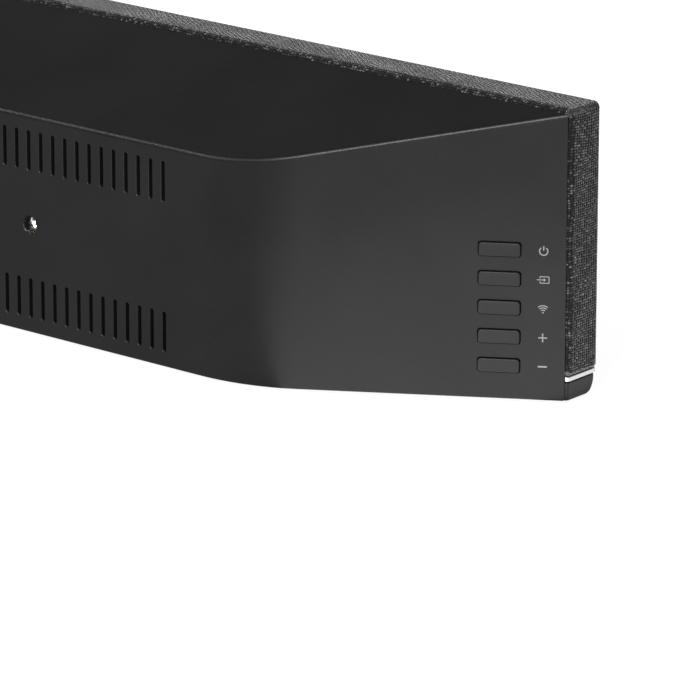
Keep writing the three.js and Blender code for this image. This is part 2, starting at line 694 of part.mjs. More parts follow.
/** The frame under the cloth: a tray with windows, and pegs that push into the baffle. */
function grilleFrame() {
  const low = CLOTH_BOTTOM + FRAME_HOLLOW;
  const high = HEIGHT - FRAME_HOLLOW;
  const inside = HALF - FRAME_HOLLOW;
  const tools = [box(-inside, inside, FRAME_BACK, GRILLE_REAR + PAST, low, high)];
  const halfWindow = (windowCentre(1) - windowCentre(0) - WINDOW_BAR) / 2;
  for (let i = 0; i < WINDOW_COUNT; i++) {
    const x = windowCentre(i);
    const window = roundedRectangle(
      x - halfWindow, x + halfWindow, low + WINDOW_RIM, high - WINDOW_RIM, WINDOW_RADIUS,
    );
    tools.push(acrossY(window, FRONT_Y, FRAME_BACK + PAST, 1));
  }
  const tray = solid(grilleBlock(FRAME_INSET, GRILLE_REAR)).subtract(joined(tools));
  const peg = (x) => rod(PEG_RADIUS, x, DRIVER_Z, FRAME_BACK - MERGE, BAFFLE_BACK, FEW_SIDES);
  const pegs = barPositions().map(peg);
  return geometryOf(tray.add(joined(pegs)));
}

/** Outline from above of a band round the front and ends, to the grille's rear edge. */
function bandPlan(inset, rear) {
  const [half, front, radius] = [HALF - inset, FRONT_Y + inset, PLAN_CORNER_RADIUS];
  const shape = new THREE.Shape();
  shape.moveTo(half, rear);
  shape.lineTo(-half, rear);
  shape.absarc(-half + radius, front + radius, radius, Math.PI, 1.5 * Math.PI);
  shape.absarc(half - radius, front + radius, radius, 1.5 * Math.PI, 2 * Math.PI);
  return shape;
}

function trimStrip() {
  const plate = upwards(bandPlan(STRIP_INSET, GRILLE_REAR), STRIP_LOW, STRIP_HIGH);
  const inside = HALF - STRIP_BAND;
  const space = box(-inside, inside, FRONT_Y + STRIP_BAND, GRILLE_REAR + PAST, 0, HEIGHT);
  return cut(plate, [space]);
}

/** The cap under the trim strip: a channel, open at the top, with a round lower front edge. */
function bottomCap() {
  const [front, top] = [FRONT_Y + CAP_INSET, STRIP_LOW - FIT_GAP];
  const section = new THREE.Shape();
  section.moveTo(GRILLE_REAR, BASE_Z);
  section.lineTo(GRILLE_REAR, top);
  section.lineTo(front, top);
  const [arcY, arcZ] = [front + CAP_EDGE_RADIUS, BASE_Z + CAP_EDGE_RADIUS];
  section.absarc(arcY, arcZ, CAP_EDGE_RADIUS, Math.PI, 1.5 * Math.PI);
  const bar = solid(alongX(section, -HALF, HALF));
  const ends = solid(upwards(bandPlan(CAP_INSET, GRILLE_REAR + PAST), 0, HEIGHT));
  const inside = HALF - CAP_INSET - CAP_WALL;
  const floor = BASE_Z + CAP_WALL;
  const rear = GRILLE_REAR - CAP_WALL;
  const near = front + CAP_WALL + CAP_EDGE_THICKENING;
  const channel = solid(box(-inside, inside, near, rear, floor, top + PAST));
  return geometryOf(bar.intersect(ends).subtract(channel));
}

// ---- loudspeaker drivers, turned around +Y, which is towards the listener once they are fitted

function driverBasket() {
  const ring = turnedRing(
    [
      [FLANGE_BORE, FLANGE_FRONT],
      [FLANGE_RADIUS, FLANGE_FRONT],
      [FLANGE_RADIUS, FLANGE_BACK],
      [BASKET_RADIUS, FLANGE_BACK],
      [BASKET_RADIUS, -BAFFLE_THICKNESS],
      [BACK_PLATE_RADIUS, -BASKET_DEPTH],
      [GAP_OUTER, -BASKET_DEPTH],
      [GAP_OUTER, -BASKET_DEPTH + BASKET_WALL],
      [BACK_PLATE_RADIUS - BASKET_WALL, -BASKET_DEPTH + BASKET_WALL],
      [FLANGE_BORE, -BAFFLE_THICKNESS],
    ],
    DRIVER_STEPS,
  );
  return cut(ring, driverScrewHoles(FLANGE_BACK, FLANGE_FRONT));
}

function driverScrewHoles(back, front) {
  const radius = DRIVER_SCREW.shank + FIT_GAP;
  const hole = ([dx, dz]) => rod(radius, dx, dz, back - FIT_GAP, front + PAST, FEW_SIDES);
  return driverScrewPlaces().map(hole);
}

function driverMagnet() {
  const plate = -BASKET_DEPTH - FIT_GAP;
  const back = plate - MAGNET_LENGTH;
  return turned(
    [
      [0, -FORMER_DEPTH + POLE_RISE],
      [GAP_INNER, -FORMER_DEPTH + POLE_RISE],
      [GAP_INNER, -FORMER_DEPTH - POLE_DROP],
      [GAP_OUTER, -FORMER_DEPTH - POLE_DROP],
      [GAP_OUTER, plate],
      [MAGNET_RADIUS, plate],
      [MAGNET_RADIUS, back],
      [0, back],
    ],
    DRIVER_STEPS,
  );
}

function driverCone() {
  const rim = FLANGE_FRONT;
  return turnedRing(
    [
      [CONE_RADIUS, rim],
      [CONE_RADIUS, rim - CONE_THICKNESS],
      [FORMER_OUTER, -CONE_NECK_DEPTH],
      [FORMER_OUTER, -FORMER_DEPTH],
      [FORMER_INNER, -FORMER_DEPTH],
      [FORMER_INNER, -CONE_NECK_DEPTH + CONE_THICKNESS],
    ],
    DRIVER_STEPS,
  );
}

function dustCap() {
  return turned([...DUST_CAP_OUTSIDE, ...DUST_CAP_INSIDE], DRIVER_STEPS);
}

/** The half-roll surround: a lip on the cone, a roll, and a lip on the basket's flange. */
function driverSurround() {
  const low = FLANGE_FRONT + FIT_GAP;
  const middle = (CONE_RADIUS + FLANGE_BORE) / 2;
  const roll = (FLANGE_BORE - CONE_RADIUS) / 2;
  const arc = (radius, rise) =>
    [0, 1, 2, 3, 4].map((i) => {
      const angle = Math.PI * (1 - i / 4);
      const height = (ROLL_HEIGHT / roll) * radius * Math.sin(angle);
      return [middle + radius * Math.cos(angle), low + rise + height];
    });
  const [inner, outer] = [CONE_RADIUS - SURROUND_INNER_LIP, FLANGE_BORE + SURROUND_OUTER_LIP];
  const front = [
    [inner, low + SURROUND_THICKNESS],
    ...arc(roll, SURROUND_THICKNESS),
    [outer, low + SURROUND_THICKNESS],
  ];
  const back = [
    [outer, low],
    ...arc(roll - SURROUND_THICKNESS, 0).reverse(),
    [inner, low],
  ];
  return turnedRing([...front, ...back], DRIVER_STEPS);
}

function driverGasket() {
  const ring = turnedRing(
    [
      [DRIVER_HOLE + FIT_GAP, FIT_GAP + GASKET_THICKNESS],
      [FLANGE_RADIUS - FIT_GAP, FIT_GAP + GASKET_THICKNESS],
      [FLANGE_RADIUS - FIT_GAP, FIT_GAP],
      [DRIVER_HOLE + FIT_GAP, FIT_GAP],
    ],
    DRIVER_STEPS,
  );
  return cut(ring, driverScrewHoles(FIT_GAP, GASKET_THICKNESS));
}

/** One driver with its screws, its axis through the baffle. */
function addDriver(side, x) {
  const driver = new THREE.Group();
  driver.position.set(x, JOIN_Y, DRIVER_Z);
  driver.rotation.x = Math.PI;
  soundBar.add(driver);
  add(driver, `driver_basket_${side}`, driverBasket(), STEEL);
  add(driver, `driver_magnet_${side}`, driverMagnet(), MAGNET);
  add(driver, `driver_cone_${side}`, driverCone(), PAPER);
  add(driver, `dust_cap_${side}`, dustCap(), PAPER);
  add(driver, `driver_surround_${side}`, driverSurround(), RUBBER);
  add(driver, `driver_gasket_${side}`, driverGasket(), RUBBER);
  driverScrewPlaces().forEach(([dx, dz], i) => {
    const piece = add(driver, `driver_screw_${side}_${i + 1}`, screw(DRIVER_SCREW), STEEL);
    piece.position.set(dx, FLANGE_FRONT + FIT_GAP, dz);
    piece.rotation.x = Math.PI;
  });
}

// ---- control buttons, in the slanted end's frame

/** A push button: crowned cap, retaining lip and stem, its centre at the origin. */
function buttonPiece() {
  const halfWidth = BUTTON_OPENING / 2 - FIT_GAP;
  const halfHeight = BUTTON_OPENING_HEIGHT / 2 - FIT_GAP;
  const ring = (inset, y) => {
    const [x, z] = [halfWidth - inset, halfHeight - inset];
    return frontRing(-x, x, -z, z, BUTTON_RADIUS - inset, y);
  };
  const lipFront = -WALL - FIT_GAP;
  const crown = BUTTON_CROWN * (1 - Math.SQRT1_2);
  const cap = loft(
    [
      ring(BUTTON_CROWN, BUTTON_PROUD),
      ring(crown, BUTTON_PROUD - crown),
      ring(0, BUTTON_PROUD - BUTTON_CROWN),
      ring(0, lipFront - MERGE),
    ],
    seenFromFront,
  );
  const lipBack = lipFront - BUTTON_LIP_THICKNESS;
  const [lipX, lipZ] = [BUTTON_OPENING / 2 + BUTTON_LIP, BUTTON_OPENING_HEIGHT / 2 + BUTTON_LIP];
  const lip = box(-lipX, lipX, lipBack, lipFront, -lipZ, lipZ);
  const [stemX, stemZ] = [BUTTON_STEM.width / 2, BUTTON_STEM.height / 2];
  const stemBack = lipBack - BUTTON_STEM_LENGTH;
  const stem = box(-stemX, stemX, stemBack, lipBack + MERGE, -stemZ, stemZ);
  return geometryOf(joined([cap, lip, stem]));
}

/** The board behind the buttons, with a switch soldered under each stem. */
function buttonBoard() {
  const front = -BUTTON_BOARD_DEPTH;
  const end = BUTTON_BOARD_EDGE + BUTTON_BOARD_WIDTH;
  const low = buttonHeight(0) - BUTTON_BOARD_MARGIN;
  const high = buttonHeight(BUTTON_NAMES.length - 1) + BUTTON_BOARD_MARGIN;
  const pieces = [box(BUTTON_BOARD_EDGE, end, front - BOARD_THICKNESS, front, low, high)];
  const body = SWITCH.size / 2;
  const top = front + SWITCH.height;
  for (let i = 0; i < BUTTON_NAMES.length; i++) {
    const z = buttonHeight(i);
    pieces.push(box(BUTTON_X - body, BUTTON_X + body, front - MERGE, top, z - body, z + body));
    const plungerTop = top + SWITCH.plunger;
    pieces.push(rod(SWITCH.plungerRadius, BUTTON_X, z, top - MERGE, plungerTop, FEW_SIDES));
  }
  return geometryOf(joined(pieces));
}

// ---- connector recess and sockets

/** The pan that lines the recess, with a flange behind the panel and a hole for each socket. */
function connectorTray(sockets) {
  const halfLength = RECESS_LENGTH / 2 - FIT_GAP;
  const halfHeight = RECESS_HEIGHT / 2 - FIT_GAP;
  const outline = (grow) =>
    roundedRectangle(
      -halfLength - grow,
      halfLength + grow,
      RECESS_Z - halfHeight - grow,
      RECESS_Z + halfHeight + grow,
      Math.max(RECESS_CORNER_RADIUS + grow, LEAST_RADIUS),
    );
  const panFront = RECESS_FLOOR - TRAY_WALL;
  const flangeBack = INNER_BACK - FIT_GAP;
  const pan = acrossY(outline(0), panFront, BACK_Y - FIT_GAP);
  const flange = acrossY(outline(TRAY_FLANGE), flangeBack - TRAY_WALL, flangeBack);
  const tools = [acrossY(outline(-TRAY_WALL), RECESS_FLOOR, BACK_Y + PAST)];
  for (const { x, width, height } of sockets) {
    const [x0, x1] = [x - width / 2 - FIT_GAP, x + width / 2 + FIT_GAP];
    const reach = height / 2 + FIT_GAP;
    const [z0, z1] = [RECESS_Z - reach, RECESS_Z + reach];
    tools.push(box(x0, x1, panFront - PAST, RECESS_FLOOR + PAST, z0, z1));
  }
  return geometryOf(joined([pan, flange]).subtract(joined(tools)));
}

/** A socket's block from the main board to just past the recess's floor. */
function socketBlock({ x, width, height }) {
  const [x0, x1] = [x - width / 2, x + width / 2];
  const [z0, z1] = [RECESS_Z - height / 2, RECESS_Z + height / 2];
  return box(x0, x1, MAIN_BOARD_BACK + FIT_GAP, RECESS_FLOOR + SOCKET_PROUD, z0, z1);
}

/** A hollow in a socket, open to the back. */
function mouth(x, { width, height, depth, radius }) {
  const shape = roundedRectangle(
    x - width / 2, x + width / 2, RECESS_Z - height / 2, RECESS_Z + height / 2, radius,
  );
  return acrossY(shape, RECESS_FLOOR + SOCKET_PROUD - depth, RECESS_FLOOR + PAST);
}

/** A socket with a hollow and a contact tongue in it. */
function tongueSocket(socket, hollow, tongue) {
  const shell = solid(socketBlock(socket)).subtract(solid(mouth(socket.x, hollow)));
  const front = RECESS_FLOOR + SOCKET_PROUD;
  const blade = box(
    socket.x - tongue.width / 2, socket.x + tongue.width / 2,
    front - hollow.depth - MERGE, front - TONGUE_SETBACK,
    RECESS_Z - tongue.thickness / 2, RECESS_Z + tongue.thickness / 2,
  );
  return geometryOf(shell.add(solid(blade)));
}

/** The mains inlet: a hollow with round ends and two contact pins. */
function powerInlet(socket) {
  const hollow = mouth(socket.x, INLET_MOUTH);
  const back = RECESS_FLOOR + SOCKET_PROUD - INLET_PIN.setback;
  const pins = [-1, 1].map((side) => {
    const x = socket.x + side * INLET_PIN.spread;
    return rod(INLET_PIN.radius, x, RECESS_Z, back - INLET_PIN.length, back, FEW_SIDES);
  });
  return geometryOf(solid(socketBlock(socket)).subtract(solid(hollow)).add(joined(pins)));
}

function audioSocket(socket) {
  const back = RECESS_FLOOR + SOCKET_PROUD;
  const bore = rod(AUDIO_BORE.radius, socket.x, RECESS_Z, back - AUDIO_BORE.depth, back + PAST);
  return cut(socketBlock(socket), [bore]);
}

function opticalSocket(socket) {
  return cut(socketBlock(socket), [mouth(socket.x, OPTICAL_MOUTH)]);
}

// ---- electronics

/** A bare circuit board, level with the main board. */
function boardPlate({ x, length, height }) {
  const [z0, z1] = [RECESS_Z - height / 2, RECESS_Z + height / 2];
  return box(x - length / 2, x + length / 2, MAIN_BOARD_FRONT, MAIN_BOARD_BACK, z0, z1);
}

function mainBoard() {
  const plate = boardPlate({ x: 0, ...MAIN_BOARD });
  const chips = CHIPS.map(({ x, width, height, thickness }) => {
    const [z0, z1] = [RECESS_Z - height / 2, RECESS_Z + height / 2];
    const front = MAIN_BOARD_FRONT - thickness;
    return box(x - width / 2, x + width / 2, front, MAIN_BOARD_FRONT + MERGE, z0, z1);
  });
  return geometryOf(joined([plate, ...chips]));
}

/** A finned heat sink on the front of the main board. */
function heatSink() {
  const { x: centre, height, fins, pitch, fin, base, reach } = HEAT_SINK;
  const front = MAIN_BOARD_FRONT - FIT_GAP;
  const half = ((fins - 1) * pitch + fin) / 2;
  const shape = new THREE.Shape();
  shape.moveTo(-half, front);
  shape.lineTo(-half, front - reach);
  for (let i = 0; i < fins; i++) {
    const x = -half + i * pitch;
    if (i > 0) shape.lineTo(x, front - base).lineTo(x, front - reach);
    shape.lineTo(x + fin, front - reach).lineTo(x + fin, front - base);
  }
  shape.lineTo(half, front);
  const geometry = upwards(shape, RECESS_Z - height / 2, RECESS_Z + height / 2);
  return geometry.translate(centre, 0, 0);
}

/** The supply's transformer: a square core with its winding through it. */
function transformer() {
  const middle = MAIN_BOARD_BACK + FIT_GAP + TRANSFORMER.core[1] / 2;
  const block = (size) => {
    const geometry = new THREE.BoxGeometry(...size);
    return geometry.translate(TRANSFORMER.x, middle, RECESS_Z);
  };
  return geometryOf(joined([block(TRANSFORMER.core), block(TRANSFORMER.winding)]));
}

function capacitor() {
  const { radius, length, edge } = CAPACITOR;
  const near = MAIN_BOARD_BACK + FIT_GAP;
  const far = near + length;
  const profile = [
    [0, near],
    [radius - edge, near],
    [radius, near + edge],
    [radius, far - edge],
    [radius - edge, far],
    [0, far],
  ];
  return turned(profile, MORE_SIDES);
}

/** A cable of the given section through hand-set points. */
function cable(points, section) {
  const path = new THREE.CatmullRomCurve3(points.map((p) => new THREE.Vector3(...p)));
  return new THREE.ExtrudeGeometry(section, {
    steps: CABLE_STEPS,
    bevelEnabled: false,
    extrudePath: path,
  });
}

/** A round cable section drawn with straight sides. */
function roundSection(radius) {
  const shape = new THREE.Shape();
  for (let i = 0; i < FEW_SIDES; i++) {
    const angle = (i * 2 * Math.PI) / FEW_SIDES;
    const [u, v] = [radius * Math.cos(angle), radius * Math.sin(angle)];
    if (i === 0) shape.moveTo(u, v);
    else shape.lineTo(u, v);
  }
  return shape;
}

/** A driver's cable, from the main board's edge to the back of the basket. */
function speakerCable(side) {
  const start = side * (MAIN_BOARD.length / 2 + CABLE_RADIUS + FIT_GAP);
  const end = side * (DRIVER_X - MAGNET_RADIUS - CABLE_LIE);
  const y = BAFFLE_BACK + CABLE_RADIUS + CABLE_BEHIND;
  const low = BASE_Z + WALL + CABLE_RADIUS + CABLE_LIE;
  const [first, second, last] = CABLE_BENDS;
  const points = [
    [start, y, RECESS_Z - CABLE_START_DROP],
    [start + side * first, y, low + CABLE_END_RISE],
    [start + side * second, y, low],
    [(start + end) / 2, y, low],
    [end - side * last, y, low],
    [end, y, low + CABLE_END_RISE],
  ];
  return cable(points, roundSection(CABLE_RADIUS));
}

/** The flat cable from the button board, through the bulkhead's notch, to the main board. */
function buttonCable() {
  const low = BASE_Z + WALL + FIT_GAP;
  const half = RIBBON.thickness / 2;
  const left = -(BULKHEAD_X + RIBBON.reach);
  const right = -(MAIN_BOARD.length / 2 + RIBBON.endGap);
  return box(left, right, RIBBON_Y - half, RIBBON_Y + half, low, low + RIBBON.width);
}

/** The row of indicator lights behind the cloth, in the frame's first window. */
function indicatorBoard() {
  const { width, height } = INDICATOR;
  const x = windowCentre(0);
  const back = JOIN_Y - FIT_GAP;
  const front = back - BOARD_THICKNESS;
  const [bottom, top] = [DRIVER_Z - height / 2, DRIVER_Z + height / 2];
  const pieces = [box(x - width / 2, x + width / 2, front, back, bottom, top)];
  const [x0, x1] = [x - LIGHT.width / 2, x + LIGHT.width / 2];
  for (let i = 0; i < LIGHT.count; i++) {
    const z = DRIVER_Z + (i - (LIGHT.count - 1) / 2) * LIGHT.pitch;
    const [z0, z1] = [z - LIGHT.height / 2, z + LIGHT.height / 2];
    pieces.push(box(x0, x1, front - LIGHT.rise, front + MERGE, z0, z1));
  }
  return geometryOf(joined(pieces));
}

function foot() {
  const height = FOOT_STAND + FOOT_POCKET - FIT_GAP;
  const profile = [
    [0, 0],
    [FOOT_RADIUS - FOOT_CHAMFER, 0],
    [FOOT_RADIUS, FOOT_CHAMFER],
    [FOOT_RADIUS, height],
    [0, height],
  ];
  return turned(profile, MORE_SIDES).rotateX(Math.PI / 2);
}

function insertPiece() {
  const profile = [
    [INSERT_BORE, 0],
    [INSERT_RADIUS, 0],
    [INSERT_RADIUS, INSERT_LENGTH],
    [INSERT_BORE, INSERT_LENGTH],
  ];
  return turnedRing(profile, MORE_SIDES);
}

// ---- putting it together

add(soundBar, "rear_housing", rearHousing(), SHELL);
add(soundBar, "front_baffle", frontBaffle(), INNER_PLASTIC);
add(soundBar, "grille_frame", grilleFrame(), INNER_PLASTIC);
add(soundBar, "grille_cloth", grilleCloth(), CLOTH);
add(soundBar, "trim_strip", trimStrip(), SILVER);
add(soundBar, "bottom_cap", bottomCap(), SHELL);

for (const [side, sign] of [["left", -1], ["right", 1]]) {
  addDriver(side, sign * DRIVER_X);
  const insert = add(soundBar, `wall_insert_${side}`, insertPiece(), BRASS);
  insert.position.set(sign * INSERT_X, INSERT_REAR - INSERT_LENGTH, INSERT_Z);
  add(soundBar, `speaker_cable_${side}`, speakerCable(sign), WIRE);
  for (const [place, y] of [["front", FOOT_ROWS[0]], ["rear", FOOT_ROWS[1]]]) {
    const pad = add(soundBar, `foot_${place}_${side}`, foot(), RUBBER);
    pad.position.set(sign * FOOT_X, y, 0);
  }
}

SCREW_COLUMNS.forEach((x, column) => {
  SCREW_ROWS.forEach((z, row) => {
    const name = `housing_screw_${column * SCREW_ROWS.length + row + 1}`;
    add(soundBar, name, screw(HOUSING_SCREW), STEEL).position.set(x, JOIN_Y - FIT_GAP, z);
  });
});

BUTTON_NAMES.forEach((name, i) => {
  const button = add(buttonEnd, `${name}_button`, buttonPiece(), BUTTON);
  button.position.set(BUTTON_X, 0, buttonHeight(i));
});
add(buttonEnd, "button_board", buttonBoard(), BOARD);

add(soundBar, "connector_tray", connectorTray(Object.values(SOCKETS)), INNER_PLASTIC);
add(soundBar, "power_inlet", powerInlet(SOCKETS.power_inlet), INNER_PLASTIC);
const tvAudioSocket = tongueSocket(SOCKETS.tv_audio_socket, TV_AUDIO_MOUTH, TV_AUDIO_TONGUE);
add(soundBar, "tv_audio_socket", tvAudioSocket, STEEL);
const serviceSocket = tongueSocket(SOCKETS.service_socket, SERVICE_MOUTH, SERVICE_TONGUE);
add(soundBar, "service_socket", serviceSocket, STEEL);
add(soundBar, "optical_socket", opticalSocket(SOCKETS.optical_socket), INNER_PLASTIC);
add(soundBar, "audio_socket", audioSocket(SOCKETS.audio_socket), INNER_PLASTIC);
add(soundBar, "main_board", mainBoard(), BOARD);
add(soundBar, "heat_sink", heatSink(), ALUMINIUM);
add(soundBar, "power_board", boardPlate(POWER_BOARD), BOARD);
add(soundBar, "transformer", transformer(), COPPER_WINDING);
add(soundBar, "capacitor", capacitor(), MAGNET).position.set(CAPACITOR.x, 0, RECESS_Z);
add(soundBar, "button_cable", buttonCable(), WIRE);
add(soundBar, "indicator_board", indicatorBoard(), BOARD);

export default soundBar;
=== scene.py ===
"""Looks of a wide sound bar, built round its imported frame.

Sizes are in millimetres and meshes are scaled to metres as they are made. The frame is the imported
part's own: +X runs along the bar, the listener sits towards -Y, the back panel faces +Y, +Z is up.
"""

from __future__ import annotations

import json
import logging
import math
from dataclasses import dataclass, field
from enum import Enum
from typing import Callable, Iterable, Sequence

import bmesh
import bpy
from mathutils import Matrix, Vector


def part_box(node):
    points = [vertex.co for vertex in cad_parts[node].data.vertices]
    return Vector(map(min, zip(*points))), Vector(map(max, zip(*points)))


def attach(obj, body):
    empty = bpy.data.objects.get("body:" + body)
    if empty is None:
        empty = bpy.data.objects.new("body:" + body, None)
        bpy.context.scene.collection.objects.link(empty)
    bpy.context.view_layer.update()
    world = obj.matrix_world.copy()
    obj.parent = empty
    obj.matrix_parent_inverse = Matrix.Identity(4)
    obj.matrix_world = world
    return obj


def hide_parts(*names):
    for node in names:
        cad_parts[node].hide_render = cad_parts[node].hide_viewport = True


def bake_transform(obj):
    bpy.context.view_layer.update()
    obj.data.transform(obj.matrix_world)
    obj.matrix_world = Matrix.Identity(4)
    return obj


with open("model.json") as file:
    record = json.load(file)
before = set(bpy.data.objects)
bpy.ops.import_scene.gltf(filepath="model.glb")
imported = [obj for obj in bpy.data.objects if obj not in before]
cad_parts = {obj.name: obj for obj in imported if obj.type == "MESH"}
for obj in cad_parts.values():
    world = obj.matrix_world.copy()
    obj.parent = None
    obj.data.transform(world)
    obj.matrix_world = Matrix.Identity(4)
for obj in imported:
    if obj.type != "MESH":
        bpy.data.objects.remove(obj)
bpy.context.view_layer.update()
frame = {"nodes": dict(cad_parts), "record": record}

LOG = logging.getLogger("sound_bar")
MM = 0.001
CHASSIS = "chassis"
QUARTER = math.pi / 2
SLIVER = 2e-6
WELD = 1e-4

Ring = list[Vector]
Corners = list[bmesh.types.BMVert]
Pair = tuple[float, float]
Colour = tuple[float, float, float]


class Side(Enum):
    """The two ends of the bar, by the sign of X."""

    LEFT = -1
    RIGHT = 1

    @property
    def word(self) -> str:
        """The side's name as the nodes spell it."""
        return self.name.lower()


class Symbol(Enum):
    """The printed symbols beside the buttons, by the button's name."""

    VOLUME_DOWN = "volume_down"
    VOLUME_UP = "volume_up"
    WIRELESS = "wireless"
    INPUT = "input"
    POWER = "power"


# ---- finishes


class Graph:
    """One material's nodes, with short calls to add and join them."""

    def __init__(self, name: str) -> None:
        """Starts the material.

        Args:
            name: the material's name.
        """
        self.material = bpy.data.materials.new(name)
        self.material.use_nodes = True
        self.tree = self.material.node_tree
        self.shader = self.tree.nodes["Principled BSDF"]

    def add(
        self, kind: str, inputs: dict[str | int, object] | None = None, **settings: object
    ) -> bpy.types.Node:
        """Adds a node.

        Args:
            kind: the node type without its ShaderNode prefix.
            inputs: values or outputs for the node's sockets, by name or number.
            settings: attributes of the node.

        Returns:
            The new node.
        """
        node = self.tree.nodes.new("ShaderNode" + kind)
        for key, value in settings.items():
            setattr(node, key, value)
        for key, value in (inputs or {}).items():
            self.give(node.inputs[key], value)
        return node

    def give(self, socket: bpy.types.NodeSocket, value: object) -> None:
        """Joins an output to a socket, or sets the socket's own value.

        Args:
            socket: the input to feed.
            value: an output, or a plain value.
        """
        if isinstance(value, bpy.types.NodeSocket):
            self.tree.links.new(value, socket)
        else:
            socket.default_value = value

    def maths(self, operation: str, *values: object) -> bpy.types.NodeSocket:
        """The result of one sum on numbers or outputs."""
        node = self.add("Math", dict(enumerate(values)), operation=operation)
        return node.outputs[0]

    def between(self, value: object, low: float, high: float) -> bpy.types.NodeSocket:
        """A share from 0 to 1 stretched to run from low to high."""
        return self.add("MapRange", {0: value, 3: low, 4: high}).outputs[0]

    def colours(self, share: object, first: object, second: Colour) -> bpy.types.NodeSocket:
        """A colour between two.

        Args:
            share: 0 for the first colour, 1 for the second.
            first: a colour, or an output that carries one.
            second: a colour.

        Returns:
            The mixed colour's socket.
        """
        node = self.add("Mix", data_type="RGBA")
        self.give(node.inputs[0], share)
        self.give(node.inputs[6], (*first, 1) if isinstance(first, tuple) else first)
        self.give(node.inputs[7], (*second, 1))
        return node.outputs[2]

    def place(self) -> bpy.types.NodeSocket:
        """Where a point is on the object, in metres."""
        return self.add("TexCoord").outputs["Object"]

    def noise(
        self, size: float, detail: float = 2, stretch: Sequence[float] = (1, 1, 1)
    ) -> bpy.types.NodeSocket:
        """Smooth noise.

        Args:
            size: the size of its features, in millimetres.
            detail: how many finer layers are added.
            stretch: how much longer the features are along each axis.

        Returns:
            The noise's value socket, about 0.5 on average.
        """
        scale = [1 / s for s in stretch]
        place = self.add("Mapping", {"Vector": self.place(), "Scale": scale}).outputs[0]
        wanted = {"Vector": place, "Scale": 1 / (size * MM), "Detail": detail}
        return self.add("TexNoise", wanted).outputs[0]

    def relief(self, height: object, depth: float) -> None:
        """Raises the surface by a height from 0 to 1, depth in millimetres."""
        bump = self.add("Bump", {"Height": height, "Strength": 1.0, "Distance": depth * MM})
        self.give(self.shader.inputs["Normal"], bump.outputs[0])

    def set(self, **values: object) -> None:
        """Sets the shader's own sockets, whose spaces are written as underscores."""
        for key, value in values.items():
            self.give(self.shader.inputs[key.replace("_", " ")], value)


@dataclass(frozen=True)
class Finish:
    """A solid finish whose colour, roughness and relief vary a little, as moulded stuff does."""

    name: str
    slot: str
    colour: Colour
    roughness: float = 0.5
    metallic: float = 0.0
    specular: float = 0.5
    grain: float = 0.3
    depth: float = 0.01
    mottle: float = 0.12
    cloud: float = 18.0
    uneven: float = 0.06
    stretch: tuple[float, float, float] = (1, 1, 1)

    def make(self) -> bpy.types.Material:
        """The finish as a material, made once and then shared."""
        return bpy.data.materials.get(self.name) or self.painted().material

    def painted(self) -> Graph:
        """The nodes of the finish.

        Returns:
            The finished graph.
        """
        graph = Graph(self.name)
        cloud = graph.noise(self.cloud, 4)
        grain = graph.noise(self.grain, 3, self.stretch)
        mixed = graph.maths("MULTIPLY_ADD", grain, 0.5, graph.maths("MULTIPLY", cloud, 0.5))
        dark, light = (self.tinted(1 - self.mottle), self.tinted(1 + self.mottle))
        graph.set(
            Base_Color=graph.colours(graph.between(mixed, -0.4, 1.4), dark, light),
            Roughness=graph.between(cloud, self.roughness - self.uneven, self.roughness + self.uneven),
            Metallic=self.metallic,
            Specular_IOR_Level=self.specular,
        )
        graph.relief(grain, self.depth)
        return graph

    def tinted(self, share: float) -> Colour:
        """The colour made lighter or darker by a share."""
        red, green, blue = self.colour
        return (red * share, green * share, blue * share)


